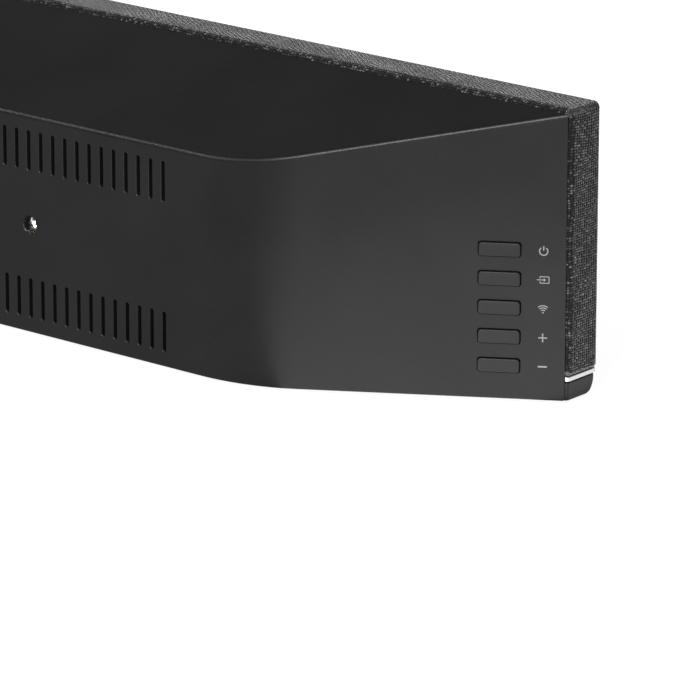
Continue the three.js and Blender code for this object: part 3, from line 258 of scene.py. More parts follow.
@dataclass(frozen=True)
class WovenCloth(Finish):
    """Plain-woven speaker cloth: two sets of yarns that pass over and under each other."""

    pitch: Pair = (0.95, 0.7)
    # The crest colour is the yarn crowns', the pit colour the gaps' between them: the far darker gaps
    # are painted shade, the lighter crowns painted light.
    crest: Colour = (0.011, 0.011, 0.0114)
    pit_shade: Colour = (0.001, 0.001, 0.0011)
    # The fleck colour: painted highlights on the crowns of random crossings, standing partly for
    # lighter threads.
    glint_fleck: Colour = (0.21, 0.21, 0.213)
    glint_fleck_share: float = 0.25
    wander: float = 2.0
    wander_sizes: Pair = (14, 17)
    patch_size: float = 9
    crown: Pair = (2.0, 0.7)
    dullest: float = 0.45
    warp_shade: float = 0.72
    fuzz: float = 0.34
    fuzz_roughness: float = 0.3

    def painted(self) -> Graph:
        """The weave, drawn on the flat cloth's own map in metres, with painted shade in its gaps and
        painted light on its crowns.

        Returns:
            The finished graph.
        """
        graph = Graph(self.name)
        flat = graph.add("UVMap", uv_map=WovenCover.MAP).outputs[0]
        parts = graph.add("SeparateXYZ", {0: flat})
        drift = [graph.between(graph.noise(size, 1), -1, 1) for size in self.wander_sizes]
        across, along = (
            graph.maths(
                "MULTIPLY_ADD",
                parts.outputs[i],
                1 / (self.pitch[i] * MM),
                graph.maths("MULTIPLY", drift[i], self.wander),
            )
            for i in (0, 1)
        )
        waves = [
            graph.maths("SINE", graph.maths("MULTIPLY", way, math.pi)) for way in (across, along)
        ]
        over = graph.maths("GREATER_THAN", graph.maths("MULTIPLY", *waves), 0.0)
        ends = (graph.between(over, *self.crown), graph.between(over, *reversed(self.crown)))
        hump = graph.maths(
            "MULTIPLY",
            *(
                graph.maths("POWER", graph.maths("ABSOLUTE", wave), end)
                for wave, end in zip(waves, ends)
            ),
        )
        cell = graph.add(
            "CombineXYZ",
            {0: graph.maths("FLOOR", across), 1: graph.maths("FLOOR", along), 2: over},
        ).outputs[0]
        chance = graph.add("TexWhiteNoise", {"Vector": cell}, noise_dimensions="3D").outputs[0]
        uneven = graph.noise(self.patch_size, 3)
        # The colour follows the weave's height: painted shade in the gaps between the yarns, painted
        # light on their crowns.
        shown = graph.maths("MULTIPLY", hump, graph.between(chance, self.dullest, 1.0))
        shown = graph.maths("MULTIPLY", shown, graph.between(over, 1.0, self.warp_shade))
        plain = graph.colours(shown, self.pit_shade, self.crest)
        # Flecks on the crowns of random crossings: painted highlights, partly lighter threads.
        crown_glint_mask = graph.maths("POWER", chance, 1 / self.glint_fleck_share)
        crown_glint_mask = graph.maths("MULTIPLY", crown_glint_mask, graph.maths("MULTIPLY", hump, uneven))
        graph.set(
            Base_Color=graph.colours(crown_glint_mask, plain, self.glint_fleck),
            Roughness=self.roughness,
            Specular_IOR_Level=self.specular,
            Sheen_Weight=self.fuzz,
            Sheen_Roughness=self.fuzz_roughness,
        )
        graph.relief(hump, self.depth)
        return graph


@dataclass(frozen=True)
class CircuitBoard(Finish):
    """Green solder mask over tracks, with pale pads."""

    cells_per_metre: float = 260.0
    pad_radius: float = 0.16
    track_fold: float = 0.12
    track_width: float = 0.03
    track_tint: float = 1.7
    pad: Colour = (0.5, 0.5, 0.48)

    def painted(self) -> Graph:
        """The board's tracks and pads.

        Returns:
            The finished graph.
        """
        graph = Graph(self.name)
        wanted = {"Vector": graph.place(), "Scale": self.cells_per_metre, "Randomness": 0.35}
        reach = graph.add("TexVoronoi", wanted, distance="MANHATTAN").outputs[0]
        pads = graph.maths("LESS_THAN", reach, self.pad_radius)
        folded = graph.maths("PINGPONG", reach, self.track_fold)
        tracks = graph.maths("LESS_THAN", folded, self.track_width)
        mask = graph.colours(tracks, self.colour, self.tinted(self.track_tint))
        graph.set(Base_Color=graph.colours(pads, mask, self.pad), Roughness=self.roughness)
        graph.relief(graph.maths("MAXIMUM", tracks, pads), self.depth)
        return graph


SHELL = Finish(
    "charcoal_shell", "shell_plastic", (0.0042, 0.0042, 0.0044), roughness=0.34, specular=0.125,
    grain=0.5, depth=0.028, mottle=0.5, cloud=26, uneven=0.03,
)
# A lighter copy of the shell plastic for the lower cap: painted light for the light that falls on the
# cap.
LIT_SHELL_FOR_CAP = Finish(
    "charcoal_shell_lit_for_cap", "shell_plastic", (0.0066, 0.0066, 0.0069), roughness=0.34, specular=0.14,
    grain=0.5, depth=0.028, mottle=0.3, cloud=26, uneven=0.03,
)
KEY = Finish(
    "satin_key", "button_plastic", (0.0050, 0.0050, 0.0054), roughness=0.33, specular=0.14,
    grain=0.3, depth=0.008, mottle=0.2,
)
INNER = Finish(
    "inner_black", "inner_plastic", (0.011, 0.011, 0.012), roughness=0.6, grain=0.5, depth=0.01,
)
CLOTH = WovenCloth("woven_cover", "grille_cloth", (0.05, 0.05, 0.052), roughness=0.8, specular=0.1,
                   depth=0.16)
SILVER = Finish(
    "satin_silver", "silver_trim", (0.4, 0.4, 0.405), roughness=0.36, metallic=0.9,
    grain=0.12, depth=0.002, mottle=0.05, stretch=(60, 60, 1),
)
STEEL = Finish(
    "zinc_steel", "steel", (0.55, 0.56, 0.58), roughness=0.34, metallic=1.0, grain=0.25,
    depth=0.003, mottle=0.1,
)
BRASS = Finish(
    "turned_brass", "brass", (0.78, 0.74, 0.64), roughness=0.22, metallic=1.0, grain=0.2,
    depth=0.003, mottle=0.12, stretch=(1, 8, 1),
)
RUBBER = Finish(
    "matt_rubber", "rubber", (0.012, 0.012, 0.012), roughness=0.78, specular=0.3, grain=0.25,
    depth=0.02,
)
PAPER = Finish(
    "coated_pulp", "cone_paper", (0.022, 0.022, 0.024), roughness=0.75, grain=0.6, depth=0.03,
    mottle=0.25,
)
MAGNET = Finish(
    "magnet_black", "magnet_black", (0.02, 0.02, 0.022), roughness=0.4, metallic=0.4, grain=0.3,
)
BOARD = CircuitBoard("solder_mask", "circuit_board", (0.012, 0.085, 0.03), roughness=0.4, depth=0.04)
ALUMINIUM = Finish(
    "extruded_aluminium", "aluminium", (0.6, 0.61, 0.63), roughness=0.36, metallic=1.0, grain=0.2,
    depth=0.004, stretch=(1, 1, 40),
)
WINDING = Finish(
    "taped_winding", "winding", (0.36, 0.17, 0.05), roughness=0.45, grain=0.5, depth=0.05,
    stretch=(20, 1, 20),
)
SLEEVE = Finish(
    "cable_sleeve", "cable_sleeve", (0.07, 0.012, 0.012), roughness=0.5, grain=0.4, depth=0.01,
)
INK = Finish(
    "pale_ink", "", (0.1, 0.1, 0.102), roughness=0.6, specular=0.3, grain=0.12, depth=0.004,
    mottle=0.1,
)
GOLD = Finish(
    "contact_gold", "", (0.78, 0.56, 0.22), roughness=0.25, metallic=1.0, grain=0.1, depth=0.001,
)
ALL_FINISHES = (
    SHELL, KEY, INNER, CLOTH, SILVER, STEEL, BRASS, RUBBER, PAPER, MAGNET, BOARD, ALUMINIUM,
    WINDING, SLEEVE,
)


# ---- making meshes


def rounded_outline(
    width: float, height: float, radius: float, steps: int = 6, low_radius: float | None = None
) -> list[Pair]:
    """A rounded rectangle about the origin, anticlockwise.

    Args:
        width: its size along the first axis.
        height: its size along the second axis.
        radius: of its corners.
        steps: how many straight lines make one corner.
        low_radius: of the two lower corners, if they differ.

    Returns:
        Its corners' points.
    """
    points = []
    for corner in range(4):
        bend = radius if corner < 2 or low_radius is None else low_radius
        for i in range(steps + 1):
            angle = QUARTER * (corner + i / steps)
            right, up = ((1, 1), (-1, 1), (-1, -1), (1, -1))[corner]
            points.append(
                (
                    right * (width / 2 - bend) + bend * math.cos(angle),
                    up * (height / 2 - bend) + bend * math.sin(angle),
                )
            )
    return points


def ring_at(outline: Iterable[Pair], y: float, x0: float = 0, z0: float = 0) -> Ring:
    """An outline drawn in XZ at one distance along Y, with its centre at x0, z0."""
    return [Vector((x0 + u, y, z0 + v)) for u, v in outline]


def circle(radius: float, steps: int) -> list[Pair]:
    """A circle about the origin as straight lines."""
    turn = 2 * math.pi / steps
    return [(radius * math.cos(i * turn), radius * math.sin(i * turn)) for i in range(steps)]


def loft(bm: bmesh.types.BMesh, rings: Sequence[Ring], ends: bool = True) -> list[Corners]:
    """Adds a skin through stacked outlines of equal length.

    Args:
        bm: the mesh that it goes into.
        rings: the outlines in order.
        ends: whether the first and last outline are closed with a face.

    Returns:
        The new vertices, ring by ring.
    """
    made = [[bm.verts.new(p) for p in ring] for ring in rings]
    count = len(made[0])
    for low, high in zip(made, made[1:]):
        for i in range(count):
            j = (i + 1) % count
            bm.faces.new((low[i], low[j], high[j], high[i]))
    if ends:
        bm.faces.new(made[0])
        bm.faces.new(made[-1])
    return made


def block(bm: bmesh.types.BMesh, low: Sequence[float], high: Sequence[float]) -> None:
    """Adds a plain block, as a cutting tool or a lump inside a larger piece.

    Args:
        bm: the mesh that it goes into.
        low: its lowest corner.
        high: its highest corner.
    """
    (x0, y0, z0), (x1, y1, z1) = low, high
    corners = [(x0, z0), (x1, z0), (x1, z1), (x0, z1)]
    loft(bm, [ring_at(corners, y0), ring_at(corners, y1)])


def turned(bm: bmesh.types.BMesh, profile: Sequence[Pair], x: float, z: float, steps: int) -> None:
    """Adds a solid turned about a line along Y.

    Args:
        bm: the mesh that it goes into.
        profile: pairs of radius and place along Y, in order.
        x: the line's place along X.
        z: the line's place along Z.
        steps: how many sides it has.
    """
    loft(bm, [ring_at(circle(radius, steps), y, x, z) for radius, y in profile])


def soft_edge(radius: float, steps: int) -> list[Pair]:
    """The section of a rounded edge, from the end face round to the side.

    Args:
        radius: of the edge.
        steps: how many straight lines it has.

    Returns:
        Pairs of how far a point is set in from the side, and from the end face.
    """
    turns = [QUARTER * i / steps for i in range(steps + 1)]
    return [(radius * (1 - math.sin(t)), radius * (1 - math.cos(t))) for t in turns]


def as_object(name: str, bm: bmesh.types.BMesh, place: Matrix | None = None) -> bpy.types.Object:
    """Turns a mesh built in millimetres into an object in metres.

    Args:
        name: the object's name.
        bm: the mesh, which is used up.
        place: where it goes in the bar's frame, if it was built elsewhere.

    Returns:
        The object.
    """
    bmesh.ops.recalc_face_normals(bm, faces=bm.faces)
    if place is not None:
        bm.transform(place)
    bm.transform(Matrix.Scale(MM, 4))
    mesh = bpy.data.meshes.new(name)
    bm.to_mesh(mesh)
    bm.free()
    made = bpy.data.objects.new(name, mesh)
    bpy.context.scene.collection.objects.link(made)
    return made


def changed_by(piece: bpy.types.Object, kind: str, **settings: object) -> bpy.types.Object:
    """Applies one modifier to a piece.

    Args:
        piece: the object whose mesh changes.
        kind: the modifier's type.
        settings: its attributes.

    Returns:
        The same object with its new mesh.
    """
    modifier = piece.modifiers.new("shaping", kind)
    for key, value in settings.items():
        setattr(modifier, key, value)
    depsgraph = bpy.context.evaluated_depsgraph_get()
    mesh = bpy.data.meshes.new_from_object(piece.evaluated_get(depsgraph))
    piece.modifiers.clear()
    piece.data = mesh
    return piece


def cut(piece: bpy.types.Object, tool: bpy.types.Object) -> bpy.types.Object:
    """Takes the space that a tool fills out of a piece, and throws the tool away.

    Args:
        piece: the object that is cut.
        tool: the object that fills the space.

    Returns:
        The cut piece.
    """
    changed_by(piece, "BOOLEAN", operation="DIFFERENCE", solver="EXACT", object=tool)
    bpy.data.objects.remove(tool)
    bm = bmesh.new()
    bm.from_mesh(piece.data)
    bmesh.ops.remove_doubles(bm, verts=bm.verts, dist=SLIVER)
    bmesh.ops.dissolve_degenerate(bm, edges=bm.edges, dist=SLIVER)
    bm.to_mesh(piece.data)
    bm.free()
    return piece


def dressed(
    piece: bpy.types.Object,
    finish: Finish,
    body: str | None = CHASSIS,
    stands_for: Sequence[str] = (),
    crease: float = 32,
) -> bpy.types.Object:
    """Gives a piece its finish, its soft shading and its body.

    Args:
        piece: the object.
        finish: what it is made of.
        body: the CAD body that it rides on, or None for a piece that lies between two, which is left
            on no body.
        stands_for: the CAD nodes that it replaces.
        crease: the angle in degrees above which an edge stays sharp.

    Returns:
        The same object.
    """
    mesh = piece.data
    mesh.materials.clear()
    mesh.materials.append(finish.make())
    mesh.polygons.foreach_set("use_smooth", [True] * len(mesh.polygons))
    mesh.set_sharp_from_angle(angle=math.radians(crease))
    evened = piece.modifiers.new("even_shading", "WEIGHTED_NORMAL")
    evened.keep_sharp = True
    evened.weight = 80
    if body:
        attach(piece, body)
    if stands_for:
        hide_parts(*stands_for)
    LOG.info("%s: %d faces on %s", piece.name, len(mesh.polygons), body)
    return piece


def node_box(node: str) -> tuple[Vector, Vector]:
    """A CAD node's lowest and highest corner, in millimetres."""
    low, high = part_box(node)
    return low / MM, high / MM


def node_middle(node: str) -> Pair:
    """Where the middle of a CAD node is along X and Z, in millimetres."""
    low, high = node_box(node)
    return (low.x + high.x) / 2, (low.z + high.z) / 2


# ---- rear housing


@dataclass
class RearHousing:
    """The moulded housing: a wedge with slanted ends, vents, and openings for the fittings."""

    end_run: float = 73.25
    back_height: float = 61.9
    bend_radius: float = 54.0
    bend_steps: int = 26
    edge_steps: int = 6
    top_edge: float = 1.1
    base_edge: float = 0.5
    wall: float = 2.4
    slot_size: Pair = (1.25, 11.25)
    slot_pitch: float = 4.43
    slot_count: int = 23
    slot_margin: float = 28.2
    slot_row_edge: float = 9.9
    slot_chamfer: float = 0.14
    recess_size: tuple[float, float, float] = (120.0, 30.0, 3.0)
    key_opening: tuple[float, float, float] = (11.56, 4.11, 0.85)
    key_chamfer: float = 0.06
    bulkhead: float = 2.0
    baffle_gap: float = 0.3
    column_half: float = 4.5
    column_depth: float = 10.5
    column_reach: float = 90.0
    insert_boss: float = 5.2
    insert_hole: tuple[float, float, float] = (3.3, 2.3, 2.55)
    post_radius: float = 2.6
    post_from_middle: Pair = (70.0, 19.5)
    foot_gap: float = 0.3
    low: Vector = field(init=False)
    high: Vector = field(init=False)

    def __post_init__(self) -> None:
        """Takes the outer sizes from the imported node."""
        self.low, self.high = node_box("rear_housing")

    @property
    def end_angle(self) -> float:
        """How far a slanted end turns away from the bar's length."""
        return math.atan2(self.high.y - self.low.y, self.end_run)

    @property
    def panel_half(self) -> float:
        """Half the back panel's length, to the corners that the bends round off."""
        return self.high.x - self.end_run

    @property
    def middle_z(self) -> float:
        """The height of the back panel's centre line."""
        return self.low.z + self.back_height / 2

    @property
    def end_frame(self) -> Matrix:
        """The left end's own frame: +X back along the end, +Y out of it, +Z up."""
        place = Matrix.Translation((self.low.x, self.low.y, 0))
        return place @ Matrix.Rotation(self.end_angle, 4, "Z")

    def top_at(self, y: float) -> float:
        """The height of the sloping top at one depth."""
        drop = self.high.z - (self.low.z + self.back_height)
        return self.high.z - drop * (y - self.low.y) / (self.high.y - self.low.y)

    def plan(self, inset: float, front: float) -> list[Pair]:
        """The outline from above, set in from the back and the ends.

        Args:
            inset: how far inside the outer faces it runs.
            front: where it starts along Y.

        Returns:
            Its points, anticlockwise.
        """
        slope = math.tan(self.end_angle)

        def end_x(y: float) -> float:
            """Where the slanted end is along X at one depth."""
            return self.high.x - inset / math.sin(self.end_angle) - (y - self.low.y) / slope

        back = self.high.y - inset
        radius = self.bend_radius - inset
        centre = end_x(back) - radius * math.tan(self.end_angle / 2)
        right = [(end_x(front), front)]
        for i in range(self.bend_steps + 1):
            angle = QUARTER - self.end_angle * (1 - i / self.bend_steps)
            right.append(
                (centre + radius * math.cos(angle), back - radius + radius * math.sin(angle))
            )
        return right + [(-x, y) for x, y in reversed(right)]

    def ring(self, inset: float, front: float, height: Callable[[float], float]) -> Ring:
        """One level of the housing, whose height may change with depth."""
        return [Vector((x, y, height(y))) for x, y in self.plan(inset, front)]

    def outside(self) -> bpy.types.Object:
        """The outer form as a full block with its top and base edges rounded.

        Returns:
            The block.
        """
        bm = bmesh.new()
        levels = []
        for inset, rise in soft_edge(self.base_edge, self.edge_steps):
            z = self.low.z + rise
            levels.append(self.ring(inset, self.low.y, lambda y, z=z: z))
        for drop, inset in soft_edge(self.top_edge, self.edge_steps):
            levels.append(
                self.ring(inset, self.low.y, lambda y, drop=drop: self.top_at(y) - drop)
            )
        loft(bm, levels)
        return as_object("housing_shell", bm)

    def hollow(self) -> bpy.types.Object:
        """The space inside the walls, less the ribs, bosses and posts that stand in it.

        Returns:
            The cutting tool.
        """
        bm = bmesh.new()
        front = self.low.y - 1
        floor = self.ring(self.wall, front, lambda y: self.low.z + self.wall)
        roof = self.ring(self.wall, front, lambda y: self.top_at(y) - self.wall)
        loft(bm, [floor, roof])
        return cut(as_object("housing_hollow", bm), self.fixtures())

    def fixtures(self) -> bpy.types.Object:
        """The bulkheads, screw columns, insert bosses and board posts inside the walls.

        Each reaches past the walls, because only what lies in the hollow is kept.

        Returns:
            Them all as one object.
        """
        bm = bmesh.new()
        over, back = 4.0, self.high.y + 1
        baffle = node_box("front_baffle")[1]
        baffle_back = baffle.y + self.baffle_gap
        edge = baffle.x - 3
        for side in Side:
            x0, x1 = sorted((side.value * edge, side.value * (edge - self.bulkhead)))
            block(bm, (x0, baffle_back, -over), (x1, back, self.high.z + over))
            self.add_columns(bm, baffle_back, side)
            insert = f"wall_insert_{side.word}"
            boss = [(self.insert_boss, node_box(insert)[0].y), (self.insert_boss, back)]
            turned(bm, boss, *node_middle(insert), 32)
            out, up = self.post_from_middle
            post = [(self.post_radius, 0.1), (self.post_radius, back)]
            for level in (-1, 1):
                turned(bm, post, side.value * out, self.middle_z + level * up, 24)
        return as_object("housing_fixtures", bm)

    def add_columns(self, bm: bmesh.types.BMesh, front: float, row: Side) -> None:
        """Adds the columns round three of the housing screws, which run to the nearest wall.

        Args:
            bm: the mesh that they go into.
            front: where they start along Y.
            row: LEFT for the lower screws, whose numbers are odd, or RIGHT for the upper ones.
        """
        half, past = self.column_half, self.column_reach
        for i in (1, 3, 5) if row is Side.LEFT else (2, 4, 6):
            x, z = node_middle(f"housing_screw_{i}")
            near, far = sorted((z + math.copysign(half, self.middle_z - z), z + row.value * past))
            block(bm, (x - half, front, near), (x + half, front + self.column_depth, far))

    def slots(self, bm: bmesh.types.BMesh) -> None:
        """Adds the cutting tools of the vent slots, flared a little at the outer face.

        Args:
            bm: the mesh that they go into.
        """
        width, length = self.slot_size
        flare = self.slot_chamfer
        rows = (
            self.low.z + self.slot_row_edge,
            self.low.z + self.back_height - self.slot_row_edge,
        )
        for side in Side:
            for i in range(self.slot_count):
                x = side.value * (self.panel_half - self.slot_margin - i * self.slot_pitch)
                for z in rows:
                    self.opening(bm, (width, length, width / 2), x, z, flare, 5)

    def opening(
        self,
        bm: bmesh.types.BMesh,
        size: tuple[float, float, float],
        x: float,
        z: float,
        flare: float,
        steps: int,
        face: float | None = None,
    ) -> None:
        """Adds the cutting tool of one opening through a wall.

        Args:
            bm: the mesh that it goes into.
            size: its width, height and corner radius.
            x: its centre along the wall.
            z: its centre's height.
            flare: how much wider it gets in the last of the wall's thickness.
            steps: straight lines to a corner.
            face: the wall's outer face along Y, which is the back panel's if it isn't given.
        """
        face = self.high.y if face is None else face
        width, height, radius = size
        rings = []
        for grow, y in ((0, -self.wall - 1), (0, -flare), (flare, 0), (flare + 0.6, 0.6)):
            outline = rounded_outline(
                width + 2 * grow, height + 2 * grow, min(radius + grow, width / 2 + grow - 1e-3), steps
            )
            rings.append(ring_at(outline, face + y, x, z))
        loft(bm, rings)

    def through_cuts(self) -> bpy.types.Object:
        """The tool of everything that opens in the back panel and the base.

        Returns:
            The cutting tool.
        """
        bm = bmesh.new()
        self.slots(bm)
        self.opening(bm, self.recess_size, 0, self.middle_z, 0.3, 6)
        seat, hole, mouth = self.insert_hole
        flare, face = mouth - hole, self.high.y
        for side in Side:
            insert = f"wall_insert_{side.word}"
            low, high = node_box(insert)
            profile = [
                (seat, low.y - 1), (seat, high.y), (hole, high.y), (hole, face - flare),
                (mouth, face), (mouth + 0.6, face + 0.6),
            ]
            turned(bm, profile, *node_middle(insert), 40)
        for row in ("front", "rear"):
            for side in Side:
                low, high = node_box(f"foot_{row}_{side.word}")
                outline = circle((high.x - low.x) / 2 + self.foot_gap, 40)
                centre = (low + high) / 2
                levels = [
                    [Vector((centre.x + u, centre.y + v, z)) for u, v in outline]
                    for z in (0.0, self.low.z + 0.8)
                ]
                loft(bm, levels)
        return as_object("housing_cuts", bm)

    def key_cuts(self) -> bpy.types.Object:
        """The tool of the five openings for the buttons, in the slanted end.

        Returns:
            The cutting tool, in the bar's frame.
        """
        bm = bmesh.new()
        for key in ControlColumn().keys():
            self.opening(bm, self.key_opening, key.x, key.z, self.key_chamfer, 6, face=0.0)
        return as_object("key_cuts", bm, self.end_frame)

    def build(self) -> None:
        """Makes the housing and puts it in the frame."""
        shell = cut(self.outside(), self.hollow())
        cut(shell, self.through_cuts())
        cut(shell, self.key_cuts())
        dressed(shell, SHELL, stands_for=["rear_housing"], crease=28)


# ---- buttons and their symbols


@dataclass
class Key:
    """One push button, built about its own centre in the slanted end's frame."""

    name: str
    x: float
    z: float
    size: tuple[float, float, float] = (11.16, 3.71, 0.78)
    proud: float = 0.7
    edge: float = 0.3
    dish: float = 0.05
    lip: tuple[float, float, float] = (13.4, 5.95, 1.0)
    stem: tuple[float, float, float] = (4.0, 2.4, 1.0)
    lip_front: float = -2.7
    tightest: float = 0.08
    steps: int = 6

    def face_ring(self, inset: float, y: float) -> Ring:
        """The button's outline, set in all round, at one place along Y.

        Args:
            inset: how far inside the widest outline it runs.
            y: its place along Y.

        Returns:
            The outline.
        """
        width, height, radius = self.size
        corner = max(radius - inset, self.tightest)
        outline = rounded_outline(width - 2 * inset, height - 2 * inset, corner, self.steps)
        return ring_at(outline, y, self.x, self.z)

    def build(self, place: Matrix) -> None:
        """Makes the button: a dished face, rounded sides, a lip behind the wall and a stem.

        Args:
            place: the slanted end's frame.
        """
        bm = bmesh.new()
        _, height, radius = self.size
        steps = self.steps
        rings = []
        for share, sink in ((0.55, self.dish), (0.2, self.dish * 0.75), (0.0, 0.0)):
            inset = self.edge + share * (height / 2 - self.edge)
            rings.append(self.face_ring(inset, self.proud - sink))
        for inset, sink in soft_edge(self.edge, steps)[1:]:
            rings.append(self.face_ring(inset, self.proud - sink))
        back = self.lip_front - self.lip[2]
        for (wide, tall, _), y, corner in (
            (self.size, self.lip_front, radius),
            (self.lip, self.lip_front, 0.5),
            (self.lip, back, 0.5),
            (self.stem, back, 0.3),
            (self.stem, back - self.stem[2], 0.3),
        ):
            rings.append(ring_at(rounded_outline(wide, tall, corner, steps), y, self.x, self.z))
        loft(bm, rings)
        button = as_object(f"{self.name}_key", bm, place)
        node = f"{self.name}_button"
        dressed(button, KEY, body=node, stands_for=[node], crease=40)


@dataclass
class PrintedSymbol:
    """One symbol beside a button, as a thin raised print on the slanted end."""

    symbol: Symbol
    x: float
    z: float
    stroke: float = 0.33
    reach: float = 1.2
    rise: float = 0.03
    sink: float = 0.02

    def strokes(self) -> list[tuple[list[Pair], float]]:
        """The lines of the symbol about its centre, as seen from outside.

        Returns:
            Pairs of a line's points and its width.
        """
        r, w = self.reach, self.stroke
        if self.symbol is Symbol.VOLUME_DOWN:
            return [([(-r, 0), (r, 0)], w * 1.35)]
        if self.symbol is Symbol.VOLUME_UP:
            arm = [([(-r, 0), (-w / 2, 0)], w), ([(w / 2, 0), (r, 0)], w)]
            return [*arm, ([(0, -r), (0, r)], w)]
        if self.symbol is Symbol.POWER:
            gap = math.radians(38)
            turns = [gap + (2 * math.pi - 2 * gap) * i / 28 for i in range(29)]
            radius = r * 0.92
            arc = [(radius * math.sin(t), radius * math.cos(t) - 0.12) for t in turns]
            return [(arc, w), ([(0, 0.05), (0, r * 1.08)], w)]
        if self.symbol is Symbol.INPUT:
            box = [(-0.9, 0.42), (-0.9, 0.72), (-0.78, 0.88), (1.35, 0.88), (1.5, 0.74)]
            box += [(x, -z) for x, z in reversed(box)]
            tip = [([(0.12, 0.36), (0.5, 0.0), (0.12, -0.36)], w * 0.8)]
            return [(box, w * 0.75), ([(-1.75, 0), (0.2, 0)], w * 0.75), *tip]
        lines = []
        for radius in (0.75, 1.35, 1.95):
            turns = [math.radians(-42 + 84 * i / 12) for i in range(13)]
            lines.append(
                ([(radius * math.sin(t), radius * math.cos(t) - 1.05) for t in turns], w * 0.85)
            )
        dot = [(0.0, -1.2), (0.0, -0.8)]
        return [*lines, (dot, w * 1.1)]

    def build(self, place: Matrix) -> None:
        """Makes the print, mirrored, because the end's own +X runs to the left from outside.

        Args:
            place: the slanted end's frame.
        """
        bm = bmesh.new()
        for line, width in self.strokes():
            self.ribbon(bm, line, width)
        dressed(as_object(f"symbol_{self.symbol.value}", bm, place), INK, crease=30)

    def ribbon(self, bm: bmesh.types.BMesh, line: Sequence[Pair], width: float) -> None:
        """Adds one line of print as a thin closed strip.

        Args:
            bm: the mesh that it goes into.
            line: the points of its middle.
            width: of the line.
        """
        points = [Vector(p) for p in line]
        left, right = [], []
        for i, point in enumerate(points):
            before = (point - points[i - 1]).normalized() if i else None
            after = (points[i + 1] - point).normalized() if i + 1 < len(points) else None
            along = ((before or after) + (after or before)).normalized()
            reach = width / 2 / max(along.dot(before or after), 0.5)
            across = Vector((-along.y, along.x)) * reach
            left.append(point + across)
            right.append(point - across)
        outline = left + right[::-1]
        rings = [
            [Vector((self.x - p.x, y, self.z + p.y)) for p in outline]
            for y in (-self.sink, self.rise)
        ]
        made = [[bm.verts.new(p) for p in ring] for ring in rings]
        count, half = len(outline), len(points)
        for i in range(count):
            j = (i + 1) % count
            bm.faces.new((made[0][i], made[0][j], made[1][j], made[1][i]))
        for ring in made:
            for i in range(half - 1):
                j = count - 1 - i
                bm.faces.new((ring[i], ring[i + 1], ring[j - 1], ring[j]))


@dataclass
class ControlColumn:
    """The five buttons and their symbols on the slanted end."""

    from_joint: float = 17.6
    lowest: float = 10.4
    pitch: float = 8.0
    symbol_from_joint: float = 5.95

    def keys(self) -> list[Key]:
        """The five buttons.

        Returns:
            The buttons, lowest first.
        """
        return [
            Key(symbol.value, self.from_joint, self.lowest + i * self.pitch)
            for i, symbol in enumerate(Symbol)
        ]

    def build(self, housing: RearHousing) -> None:
        """Makes the buttons and prints.

        Args:
            housing: the housing that they are fitted to.
        """
        place = housing.end_frame
        for key, symbol in zip(self.keys(), Symbol):
            key.build(place)
            PrintedSymbol(symbol, self.symbol_from_joint, key.z).build(place)


# ---- grille module


@dataclass
class WovenCover:
    """The cloth, stretched over the front and wrapped round all four edges of its frame."""

    MAP = "flat_cloth"
    front_edge: float = 1.5
    rear_edge: float = 1.5
    corner: float = 1.7
    lower_corner: float = 1.1
    steps: int = 8
    thickness: float = 0.5
    tuck: float = 2.6
    proud: float = 0.3
    drop: float = 0.2
    back_out: float = 0.2

    def outline(self, low: Vector, high: Vector, inset: float) -> list[tuple[Vector, Vector]]:
        """Points round the grille as seen from the front, each with its outward direction.

        Args:
            low: the cloth's lowest corner.
            high: the cloth's highest corner.
            inset: how far inside its widest outline.

        Returns:
            Pairs of a point and a direction, both in XZ.
        """
        radius, low_radius = (max(r - inset * 0.6, 0.3) for r in (self.corner, self.lower_corner))
        middle = Vector(((low.x + high.x) / 2, (low.z + high.z) / 2))
        wide, tall = high.x - low.x - 2 * inset, high.z - low.z - 2 * inset
        steps = self.steps
        found = []
        for i, point in enumerate(rounded_outline(wide, tall, radius, steps, low_radius)):
            angle = QUARTER * (i // (steps + 1) + (i % (steps + 1)) / steps)
            found.append((middle + Vector(point), Vector((math.cos(angle), math.sin(angle)))))
        return found

    def section(self, low: Vector, high: Vector) -> list[Pair]:
        """The cloth's path from its tucked rear edge to the front face.

        Args:
            low: the cloth's lowest corner.
            high: the cloth's highest corner.

        Returns:
            Pairs of inset and place along Y.
        """
        rear, front = (soft_edge(edge, self.steps) for edge in (self.rear_edge, self.front_edge))
        path = [(self.tuck, high.y)]
        path += [(inset, high.y - sink) for inset, sink in rear]
        path += [(inset, low.y + sink) for sink, inset in front]
        return path

    def build(self) -> None:
        """Makes the cloth with a map of where each point lay on the flat cut."""
        low, high = node_box("grille_cloth")
        low -= Vector((self.proud, self.proud, self.drop))
        high += Vector((self.proud, self.back_out, 0))
        path = self.section(low, high)
        lengths = [0.0]
        for (a, b), (c, d) in zip(path, path[1:]):
            lengths.append(lengths[-1] + math.hypot(c - a, d - b))
        whole = lengths[-1]
        bm = bmesh.new()
        flat = bm.loops.layers.uv.new(self.MAP)
        edge = [place for place, _ in self.outline(low, high, self.front_edge)]
        rings, maps = [], []
        for (inset, y), length in zip(path, lengths):
            outline = self.outline(low, high, inset)
            rings.append([Vector((p.x, y, p.y)) for p, _ in outline])
            maps.append([edge[i] + out * (whole - length) for i, (_, out) in enumerate(outline)])
        made = loft(bm, rings, ends=False)
        bm.faces.new(made[-1])
        spot = {v: maps[i][j] for i, ring in enumerate(made) for j, v in enumerate(ring)}
        for face in bm.faces:
            for loop in face.loops:
                loop[flat].uv = spot[loop.vert] * MM
        cover = as_object("woven_cover", bm)
        changed_by(cover, "SOLIDIFY", thickness=self.thickness * MM, offset=-1.0)
        dressed(cover, CLOTH, stands_for=["grille_cloth"], crease=60)


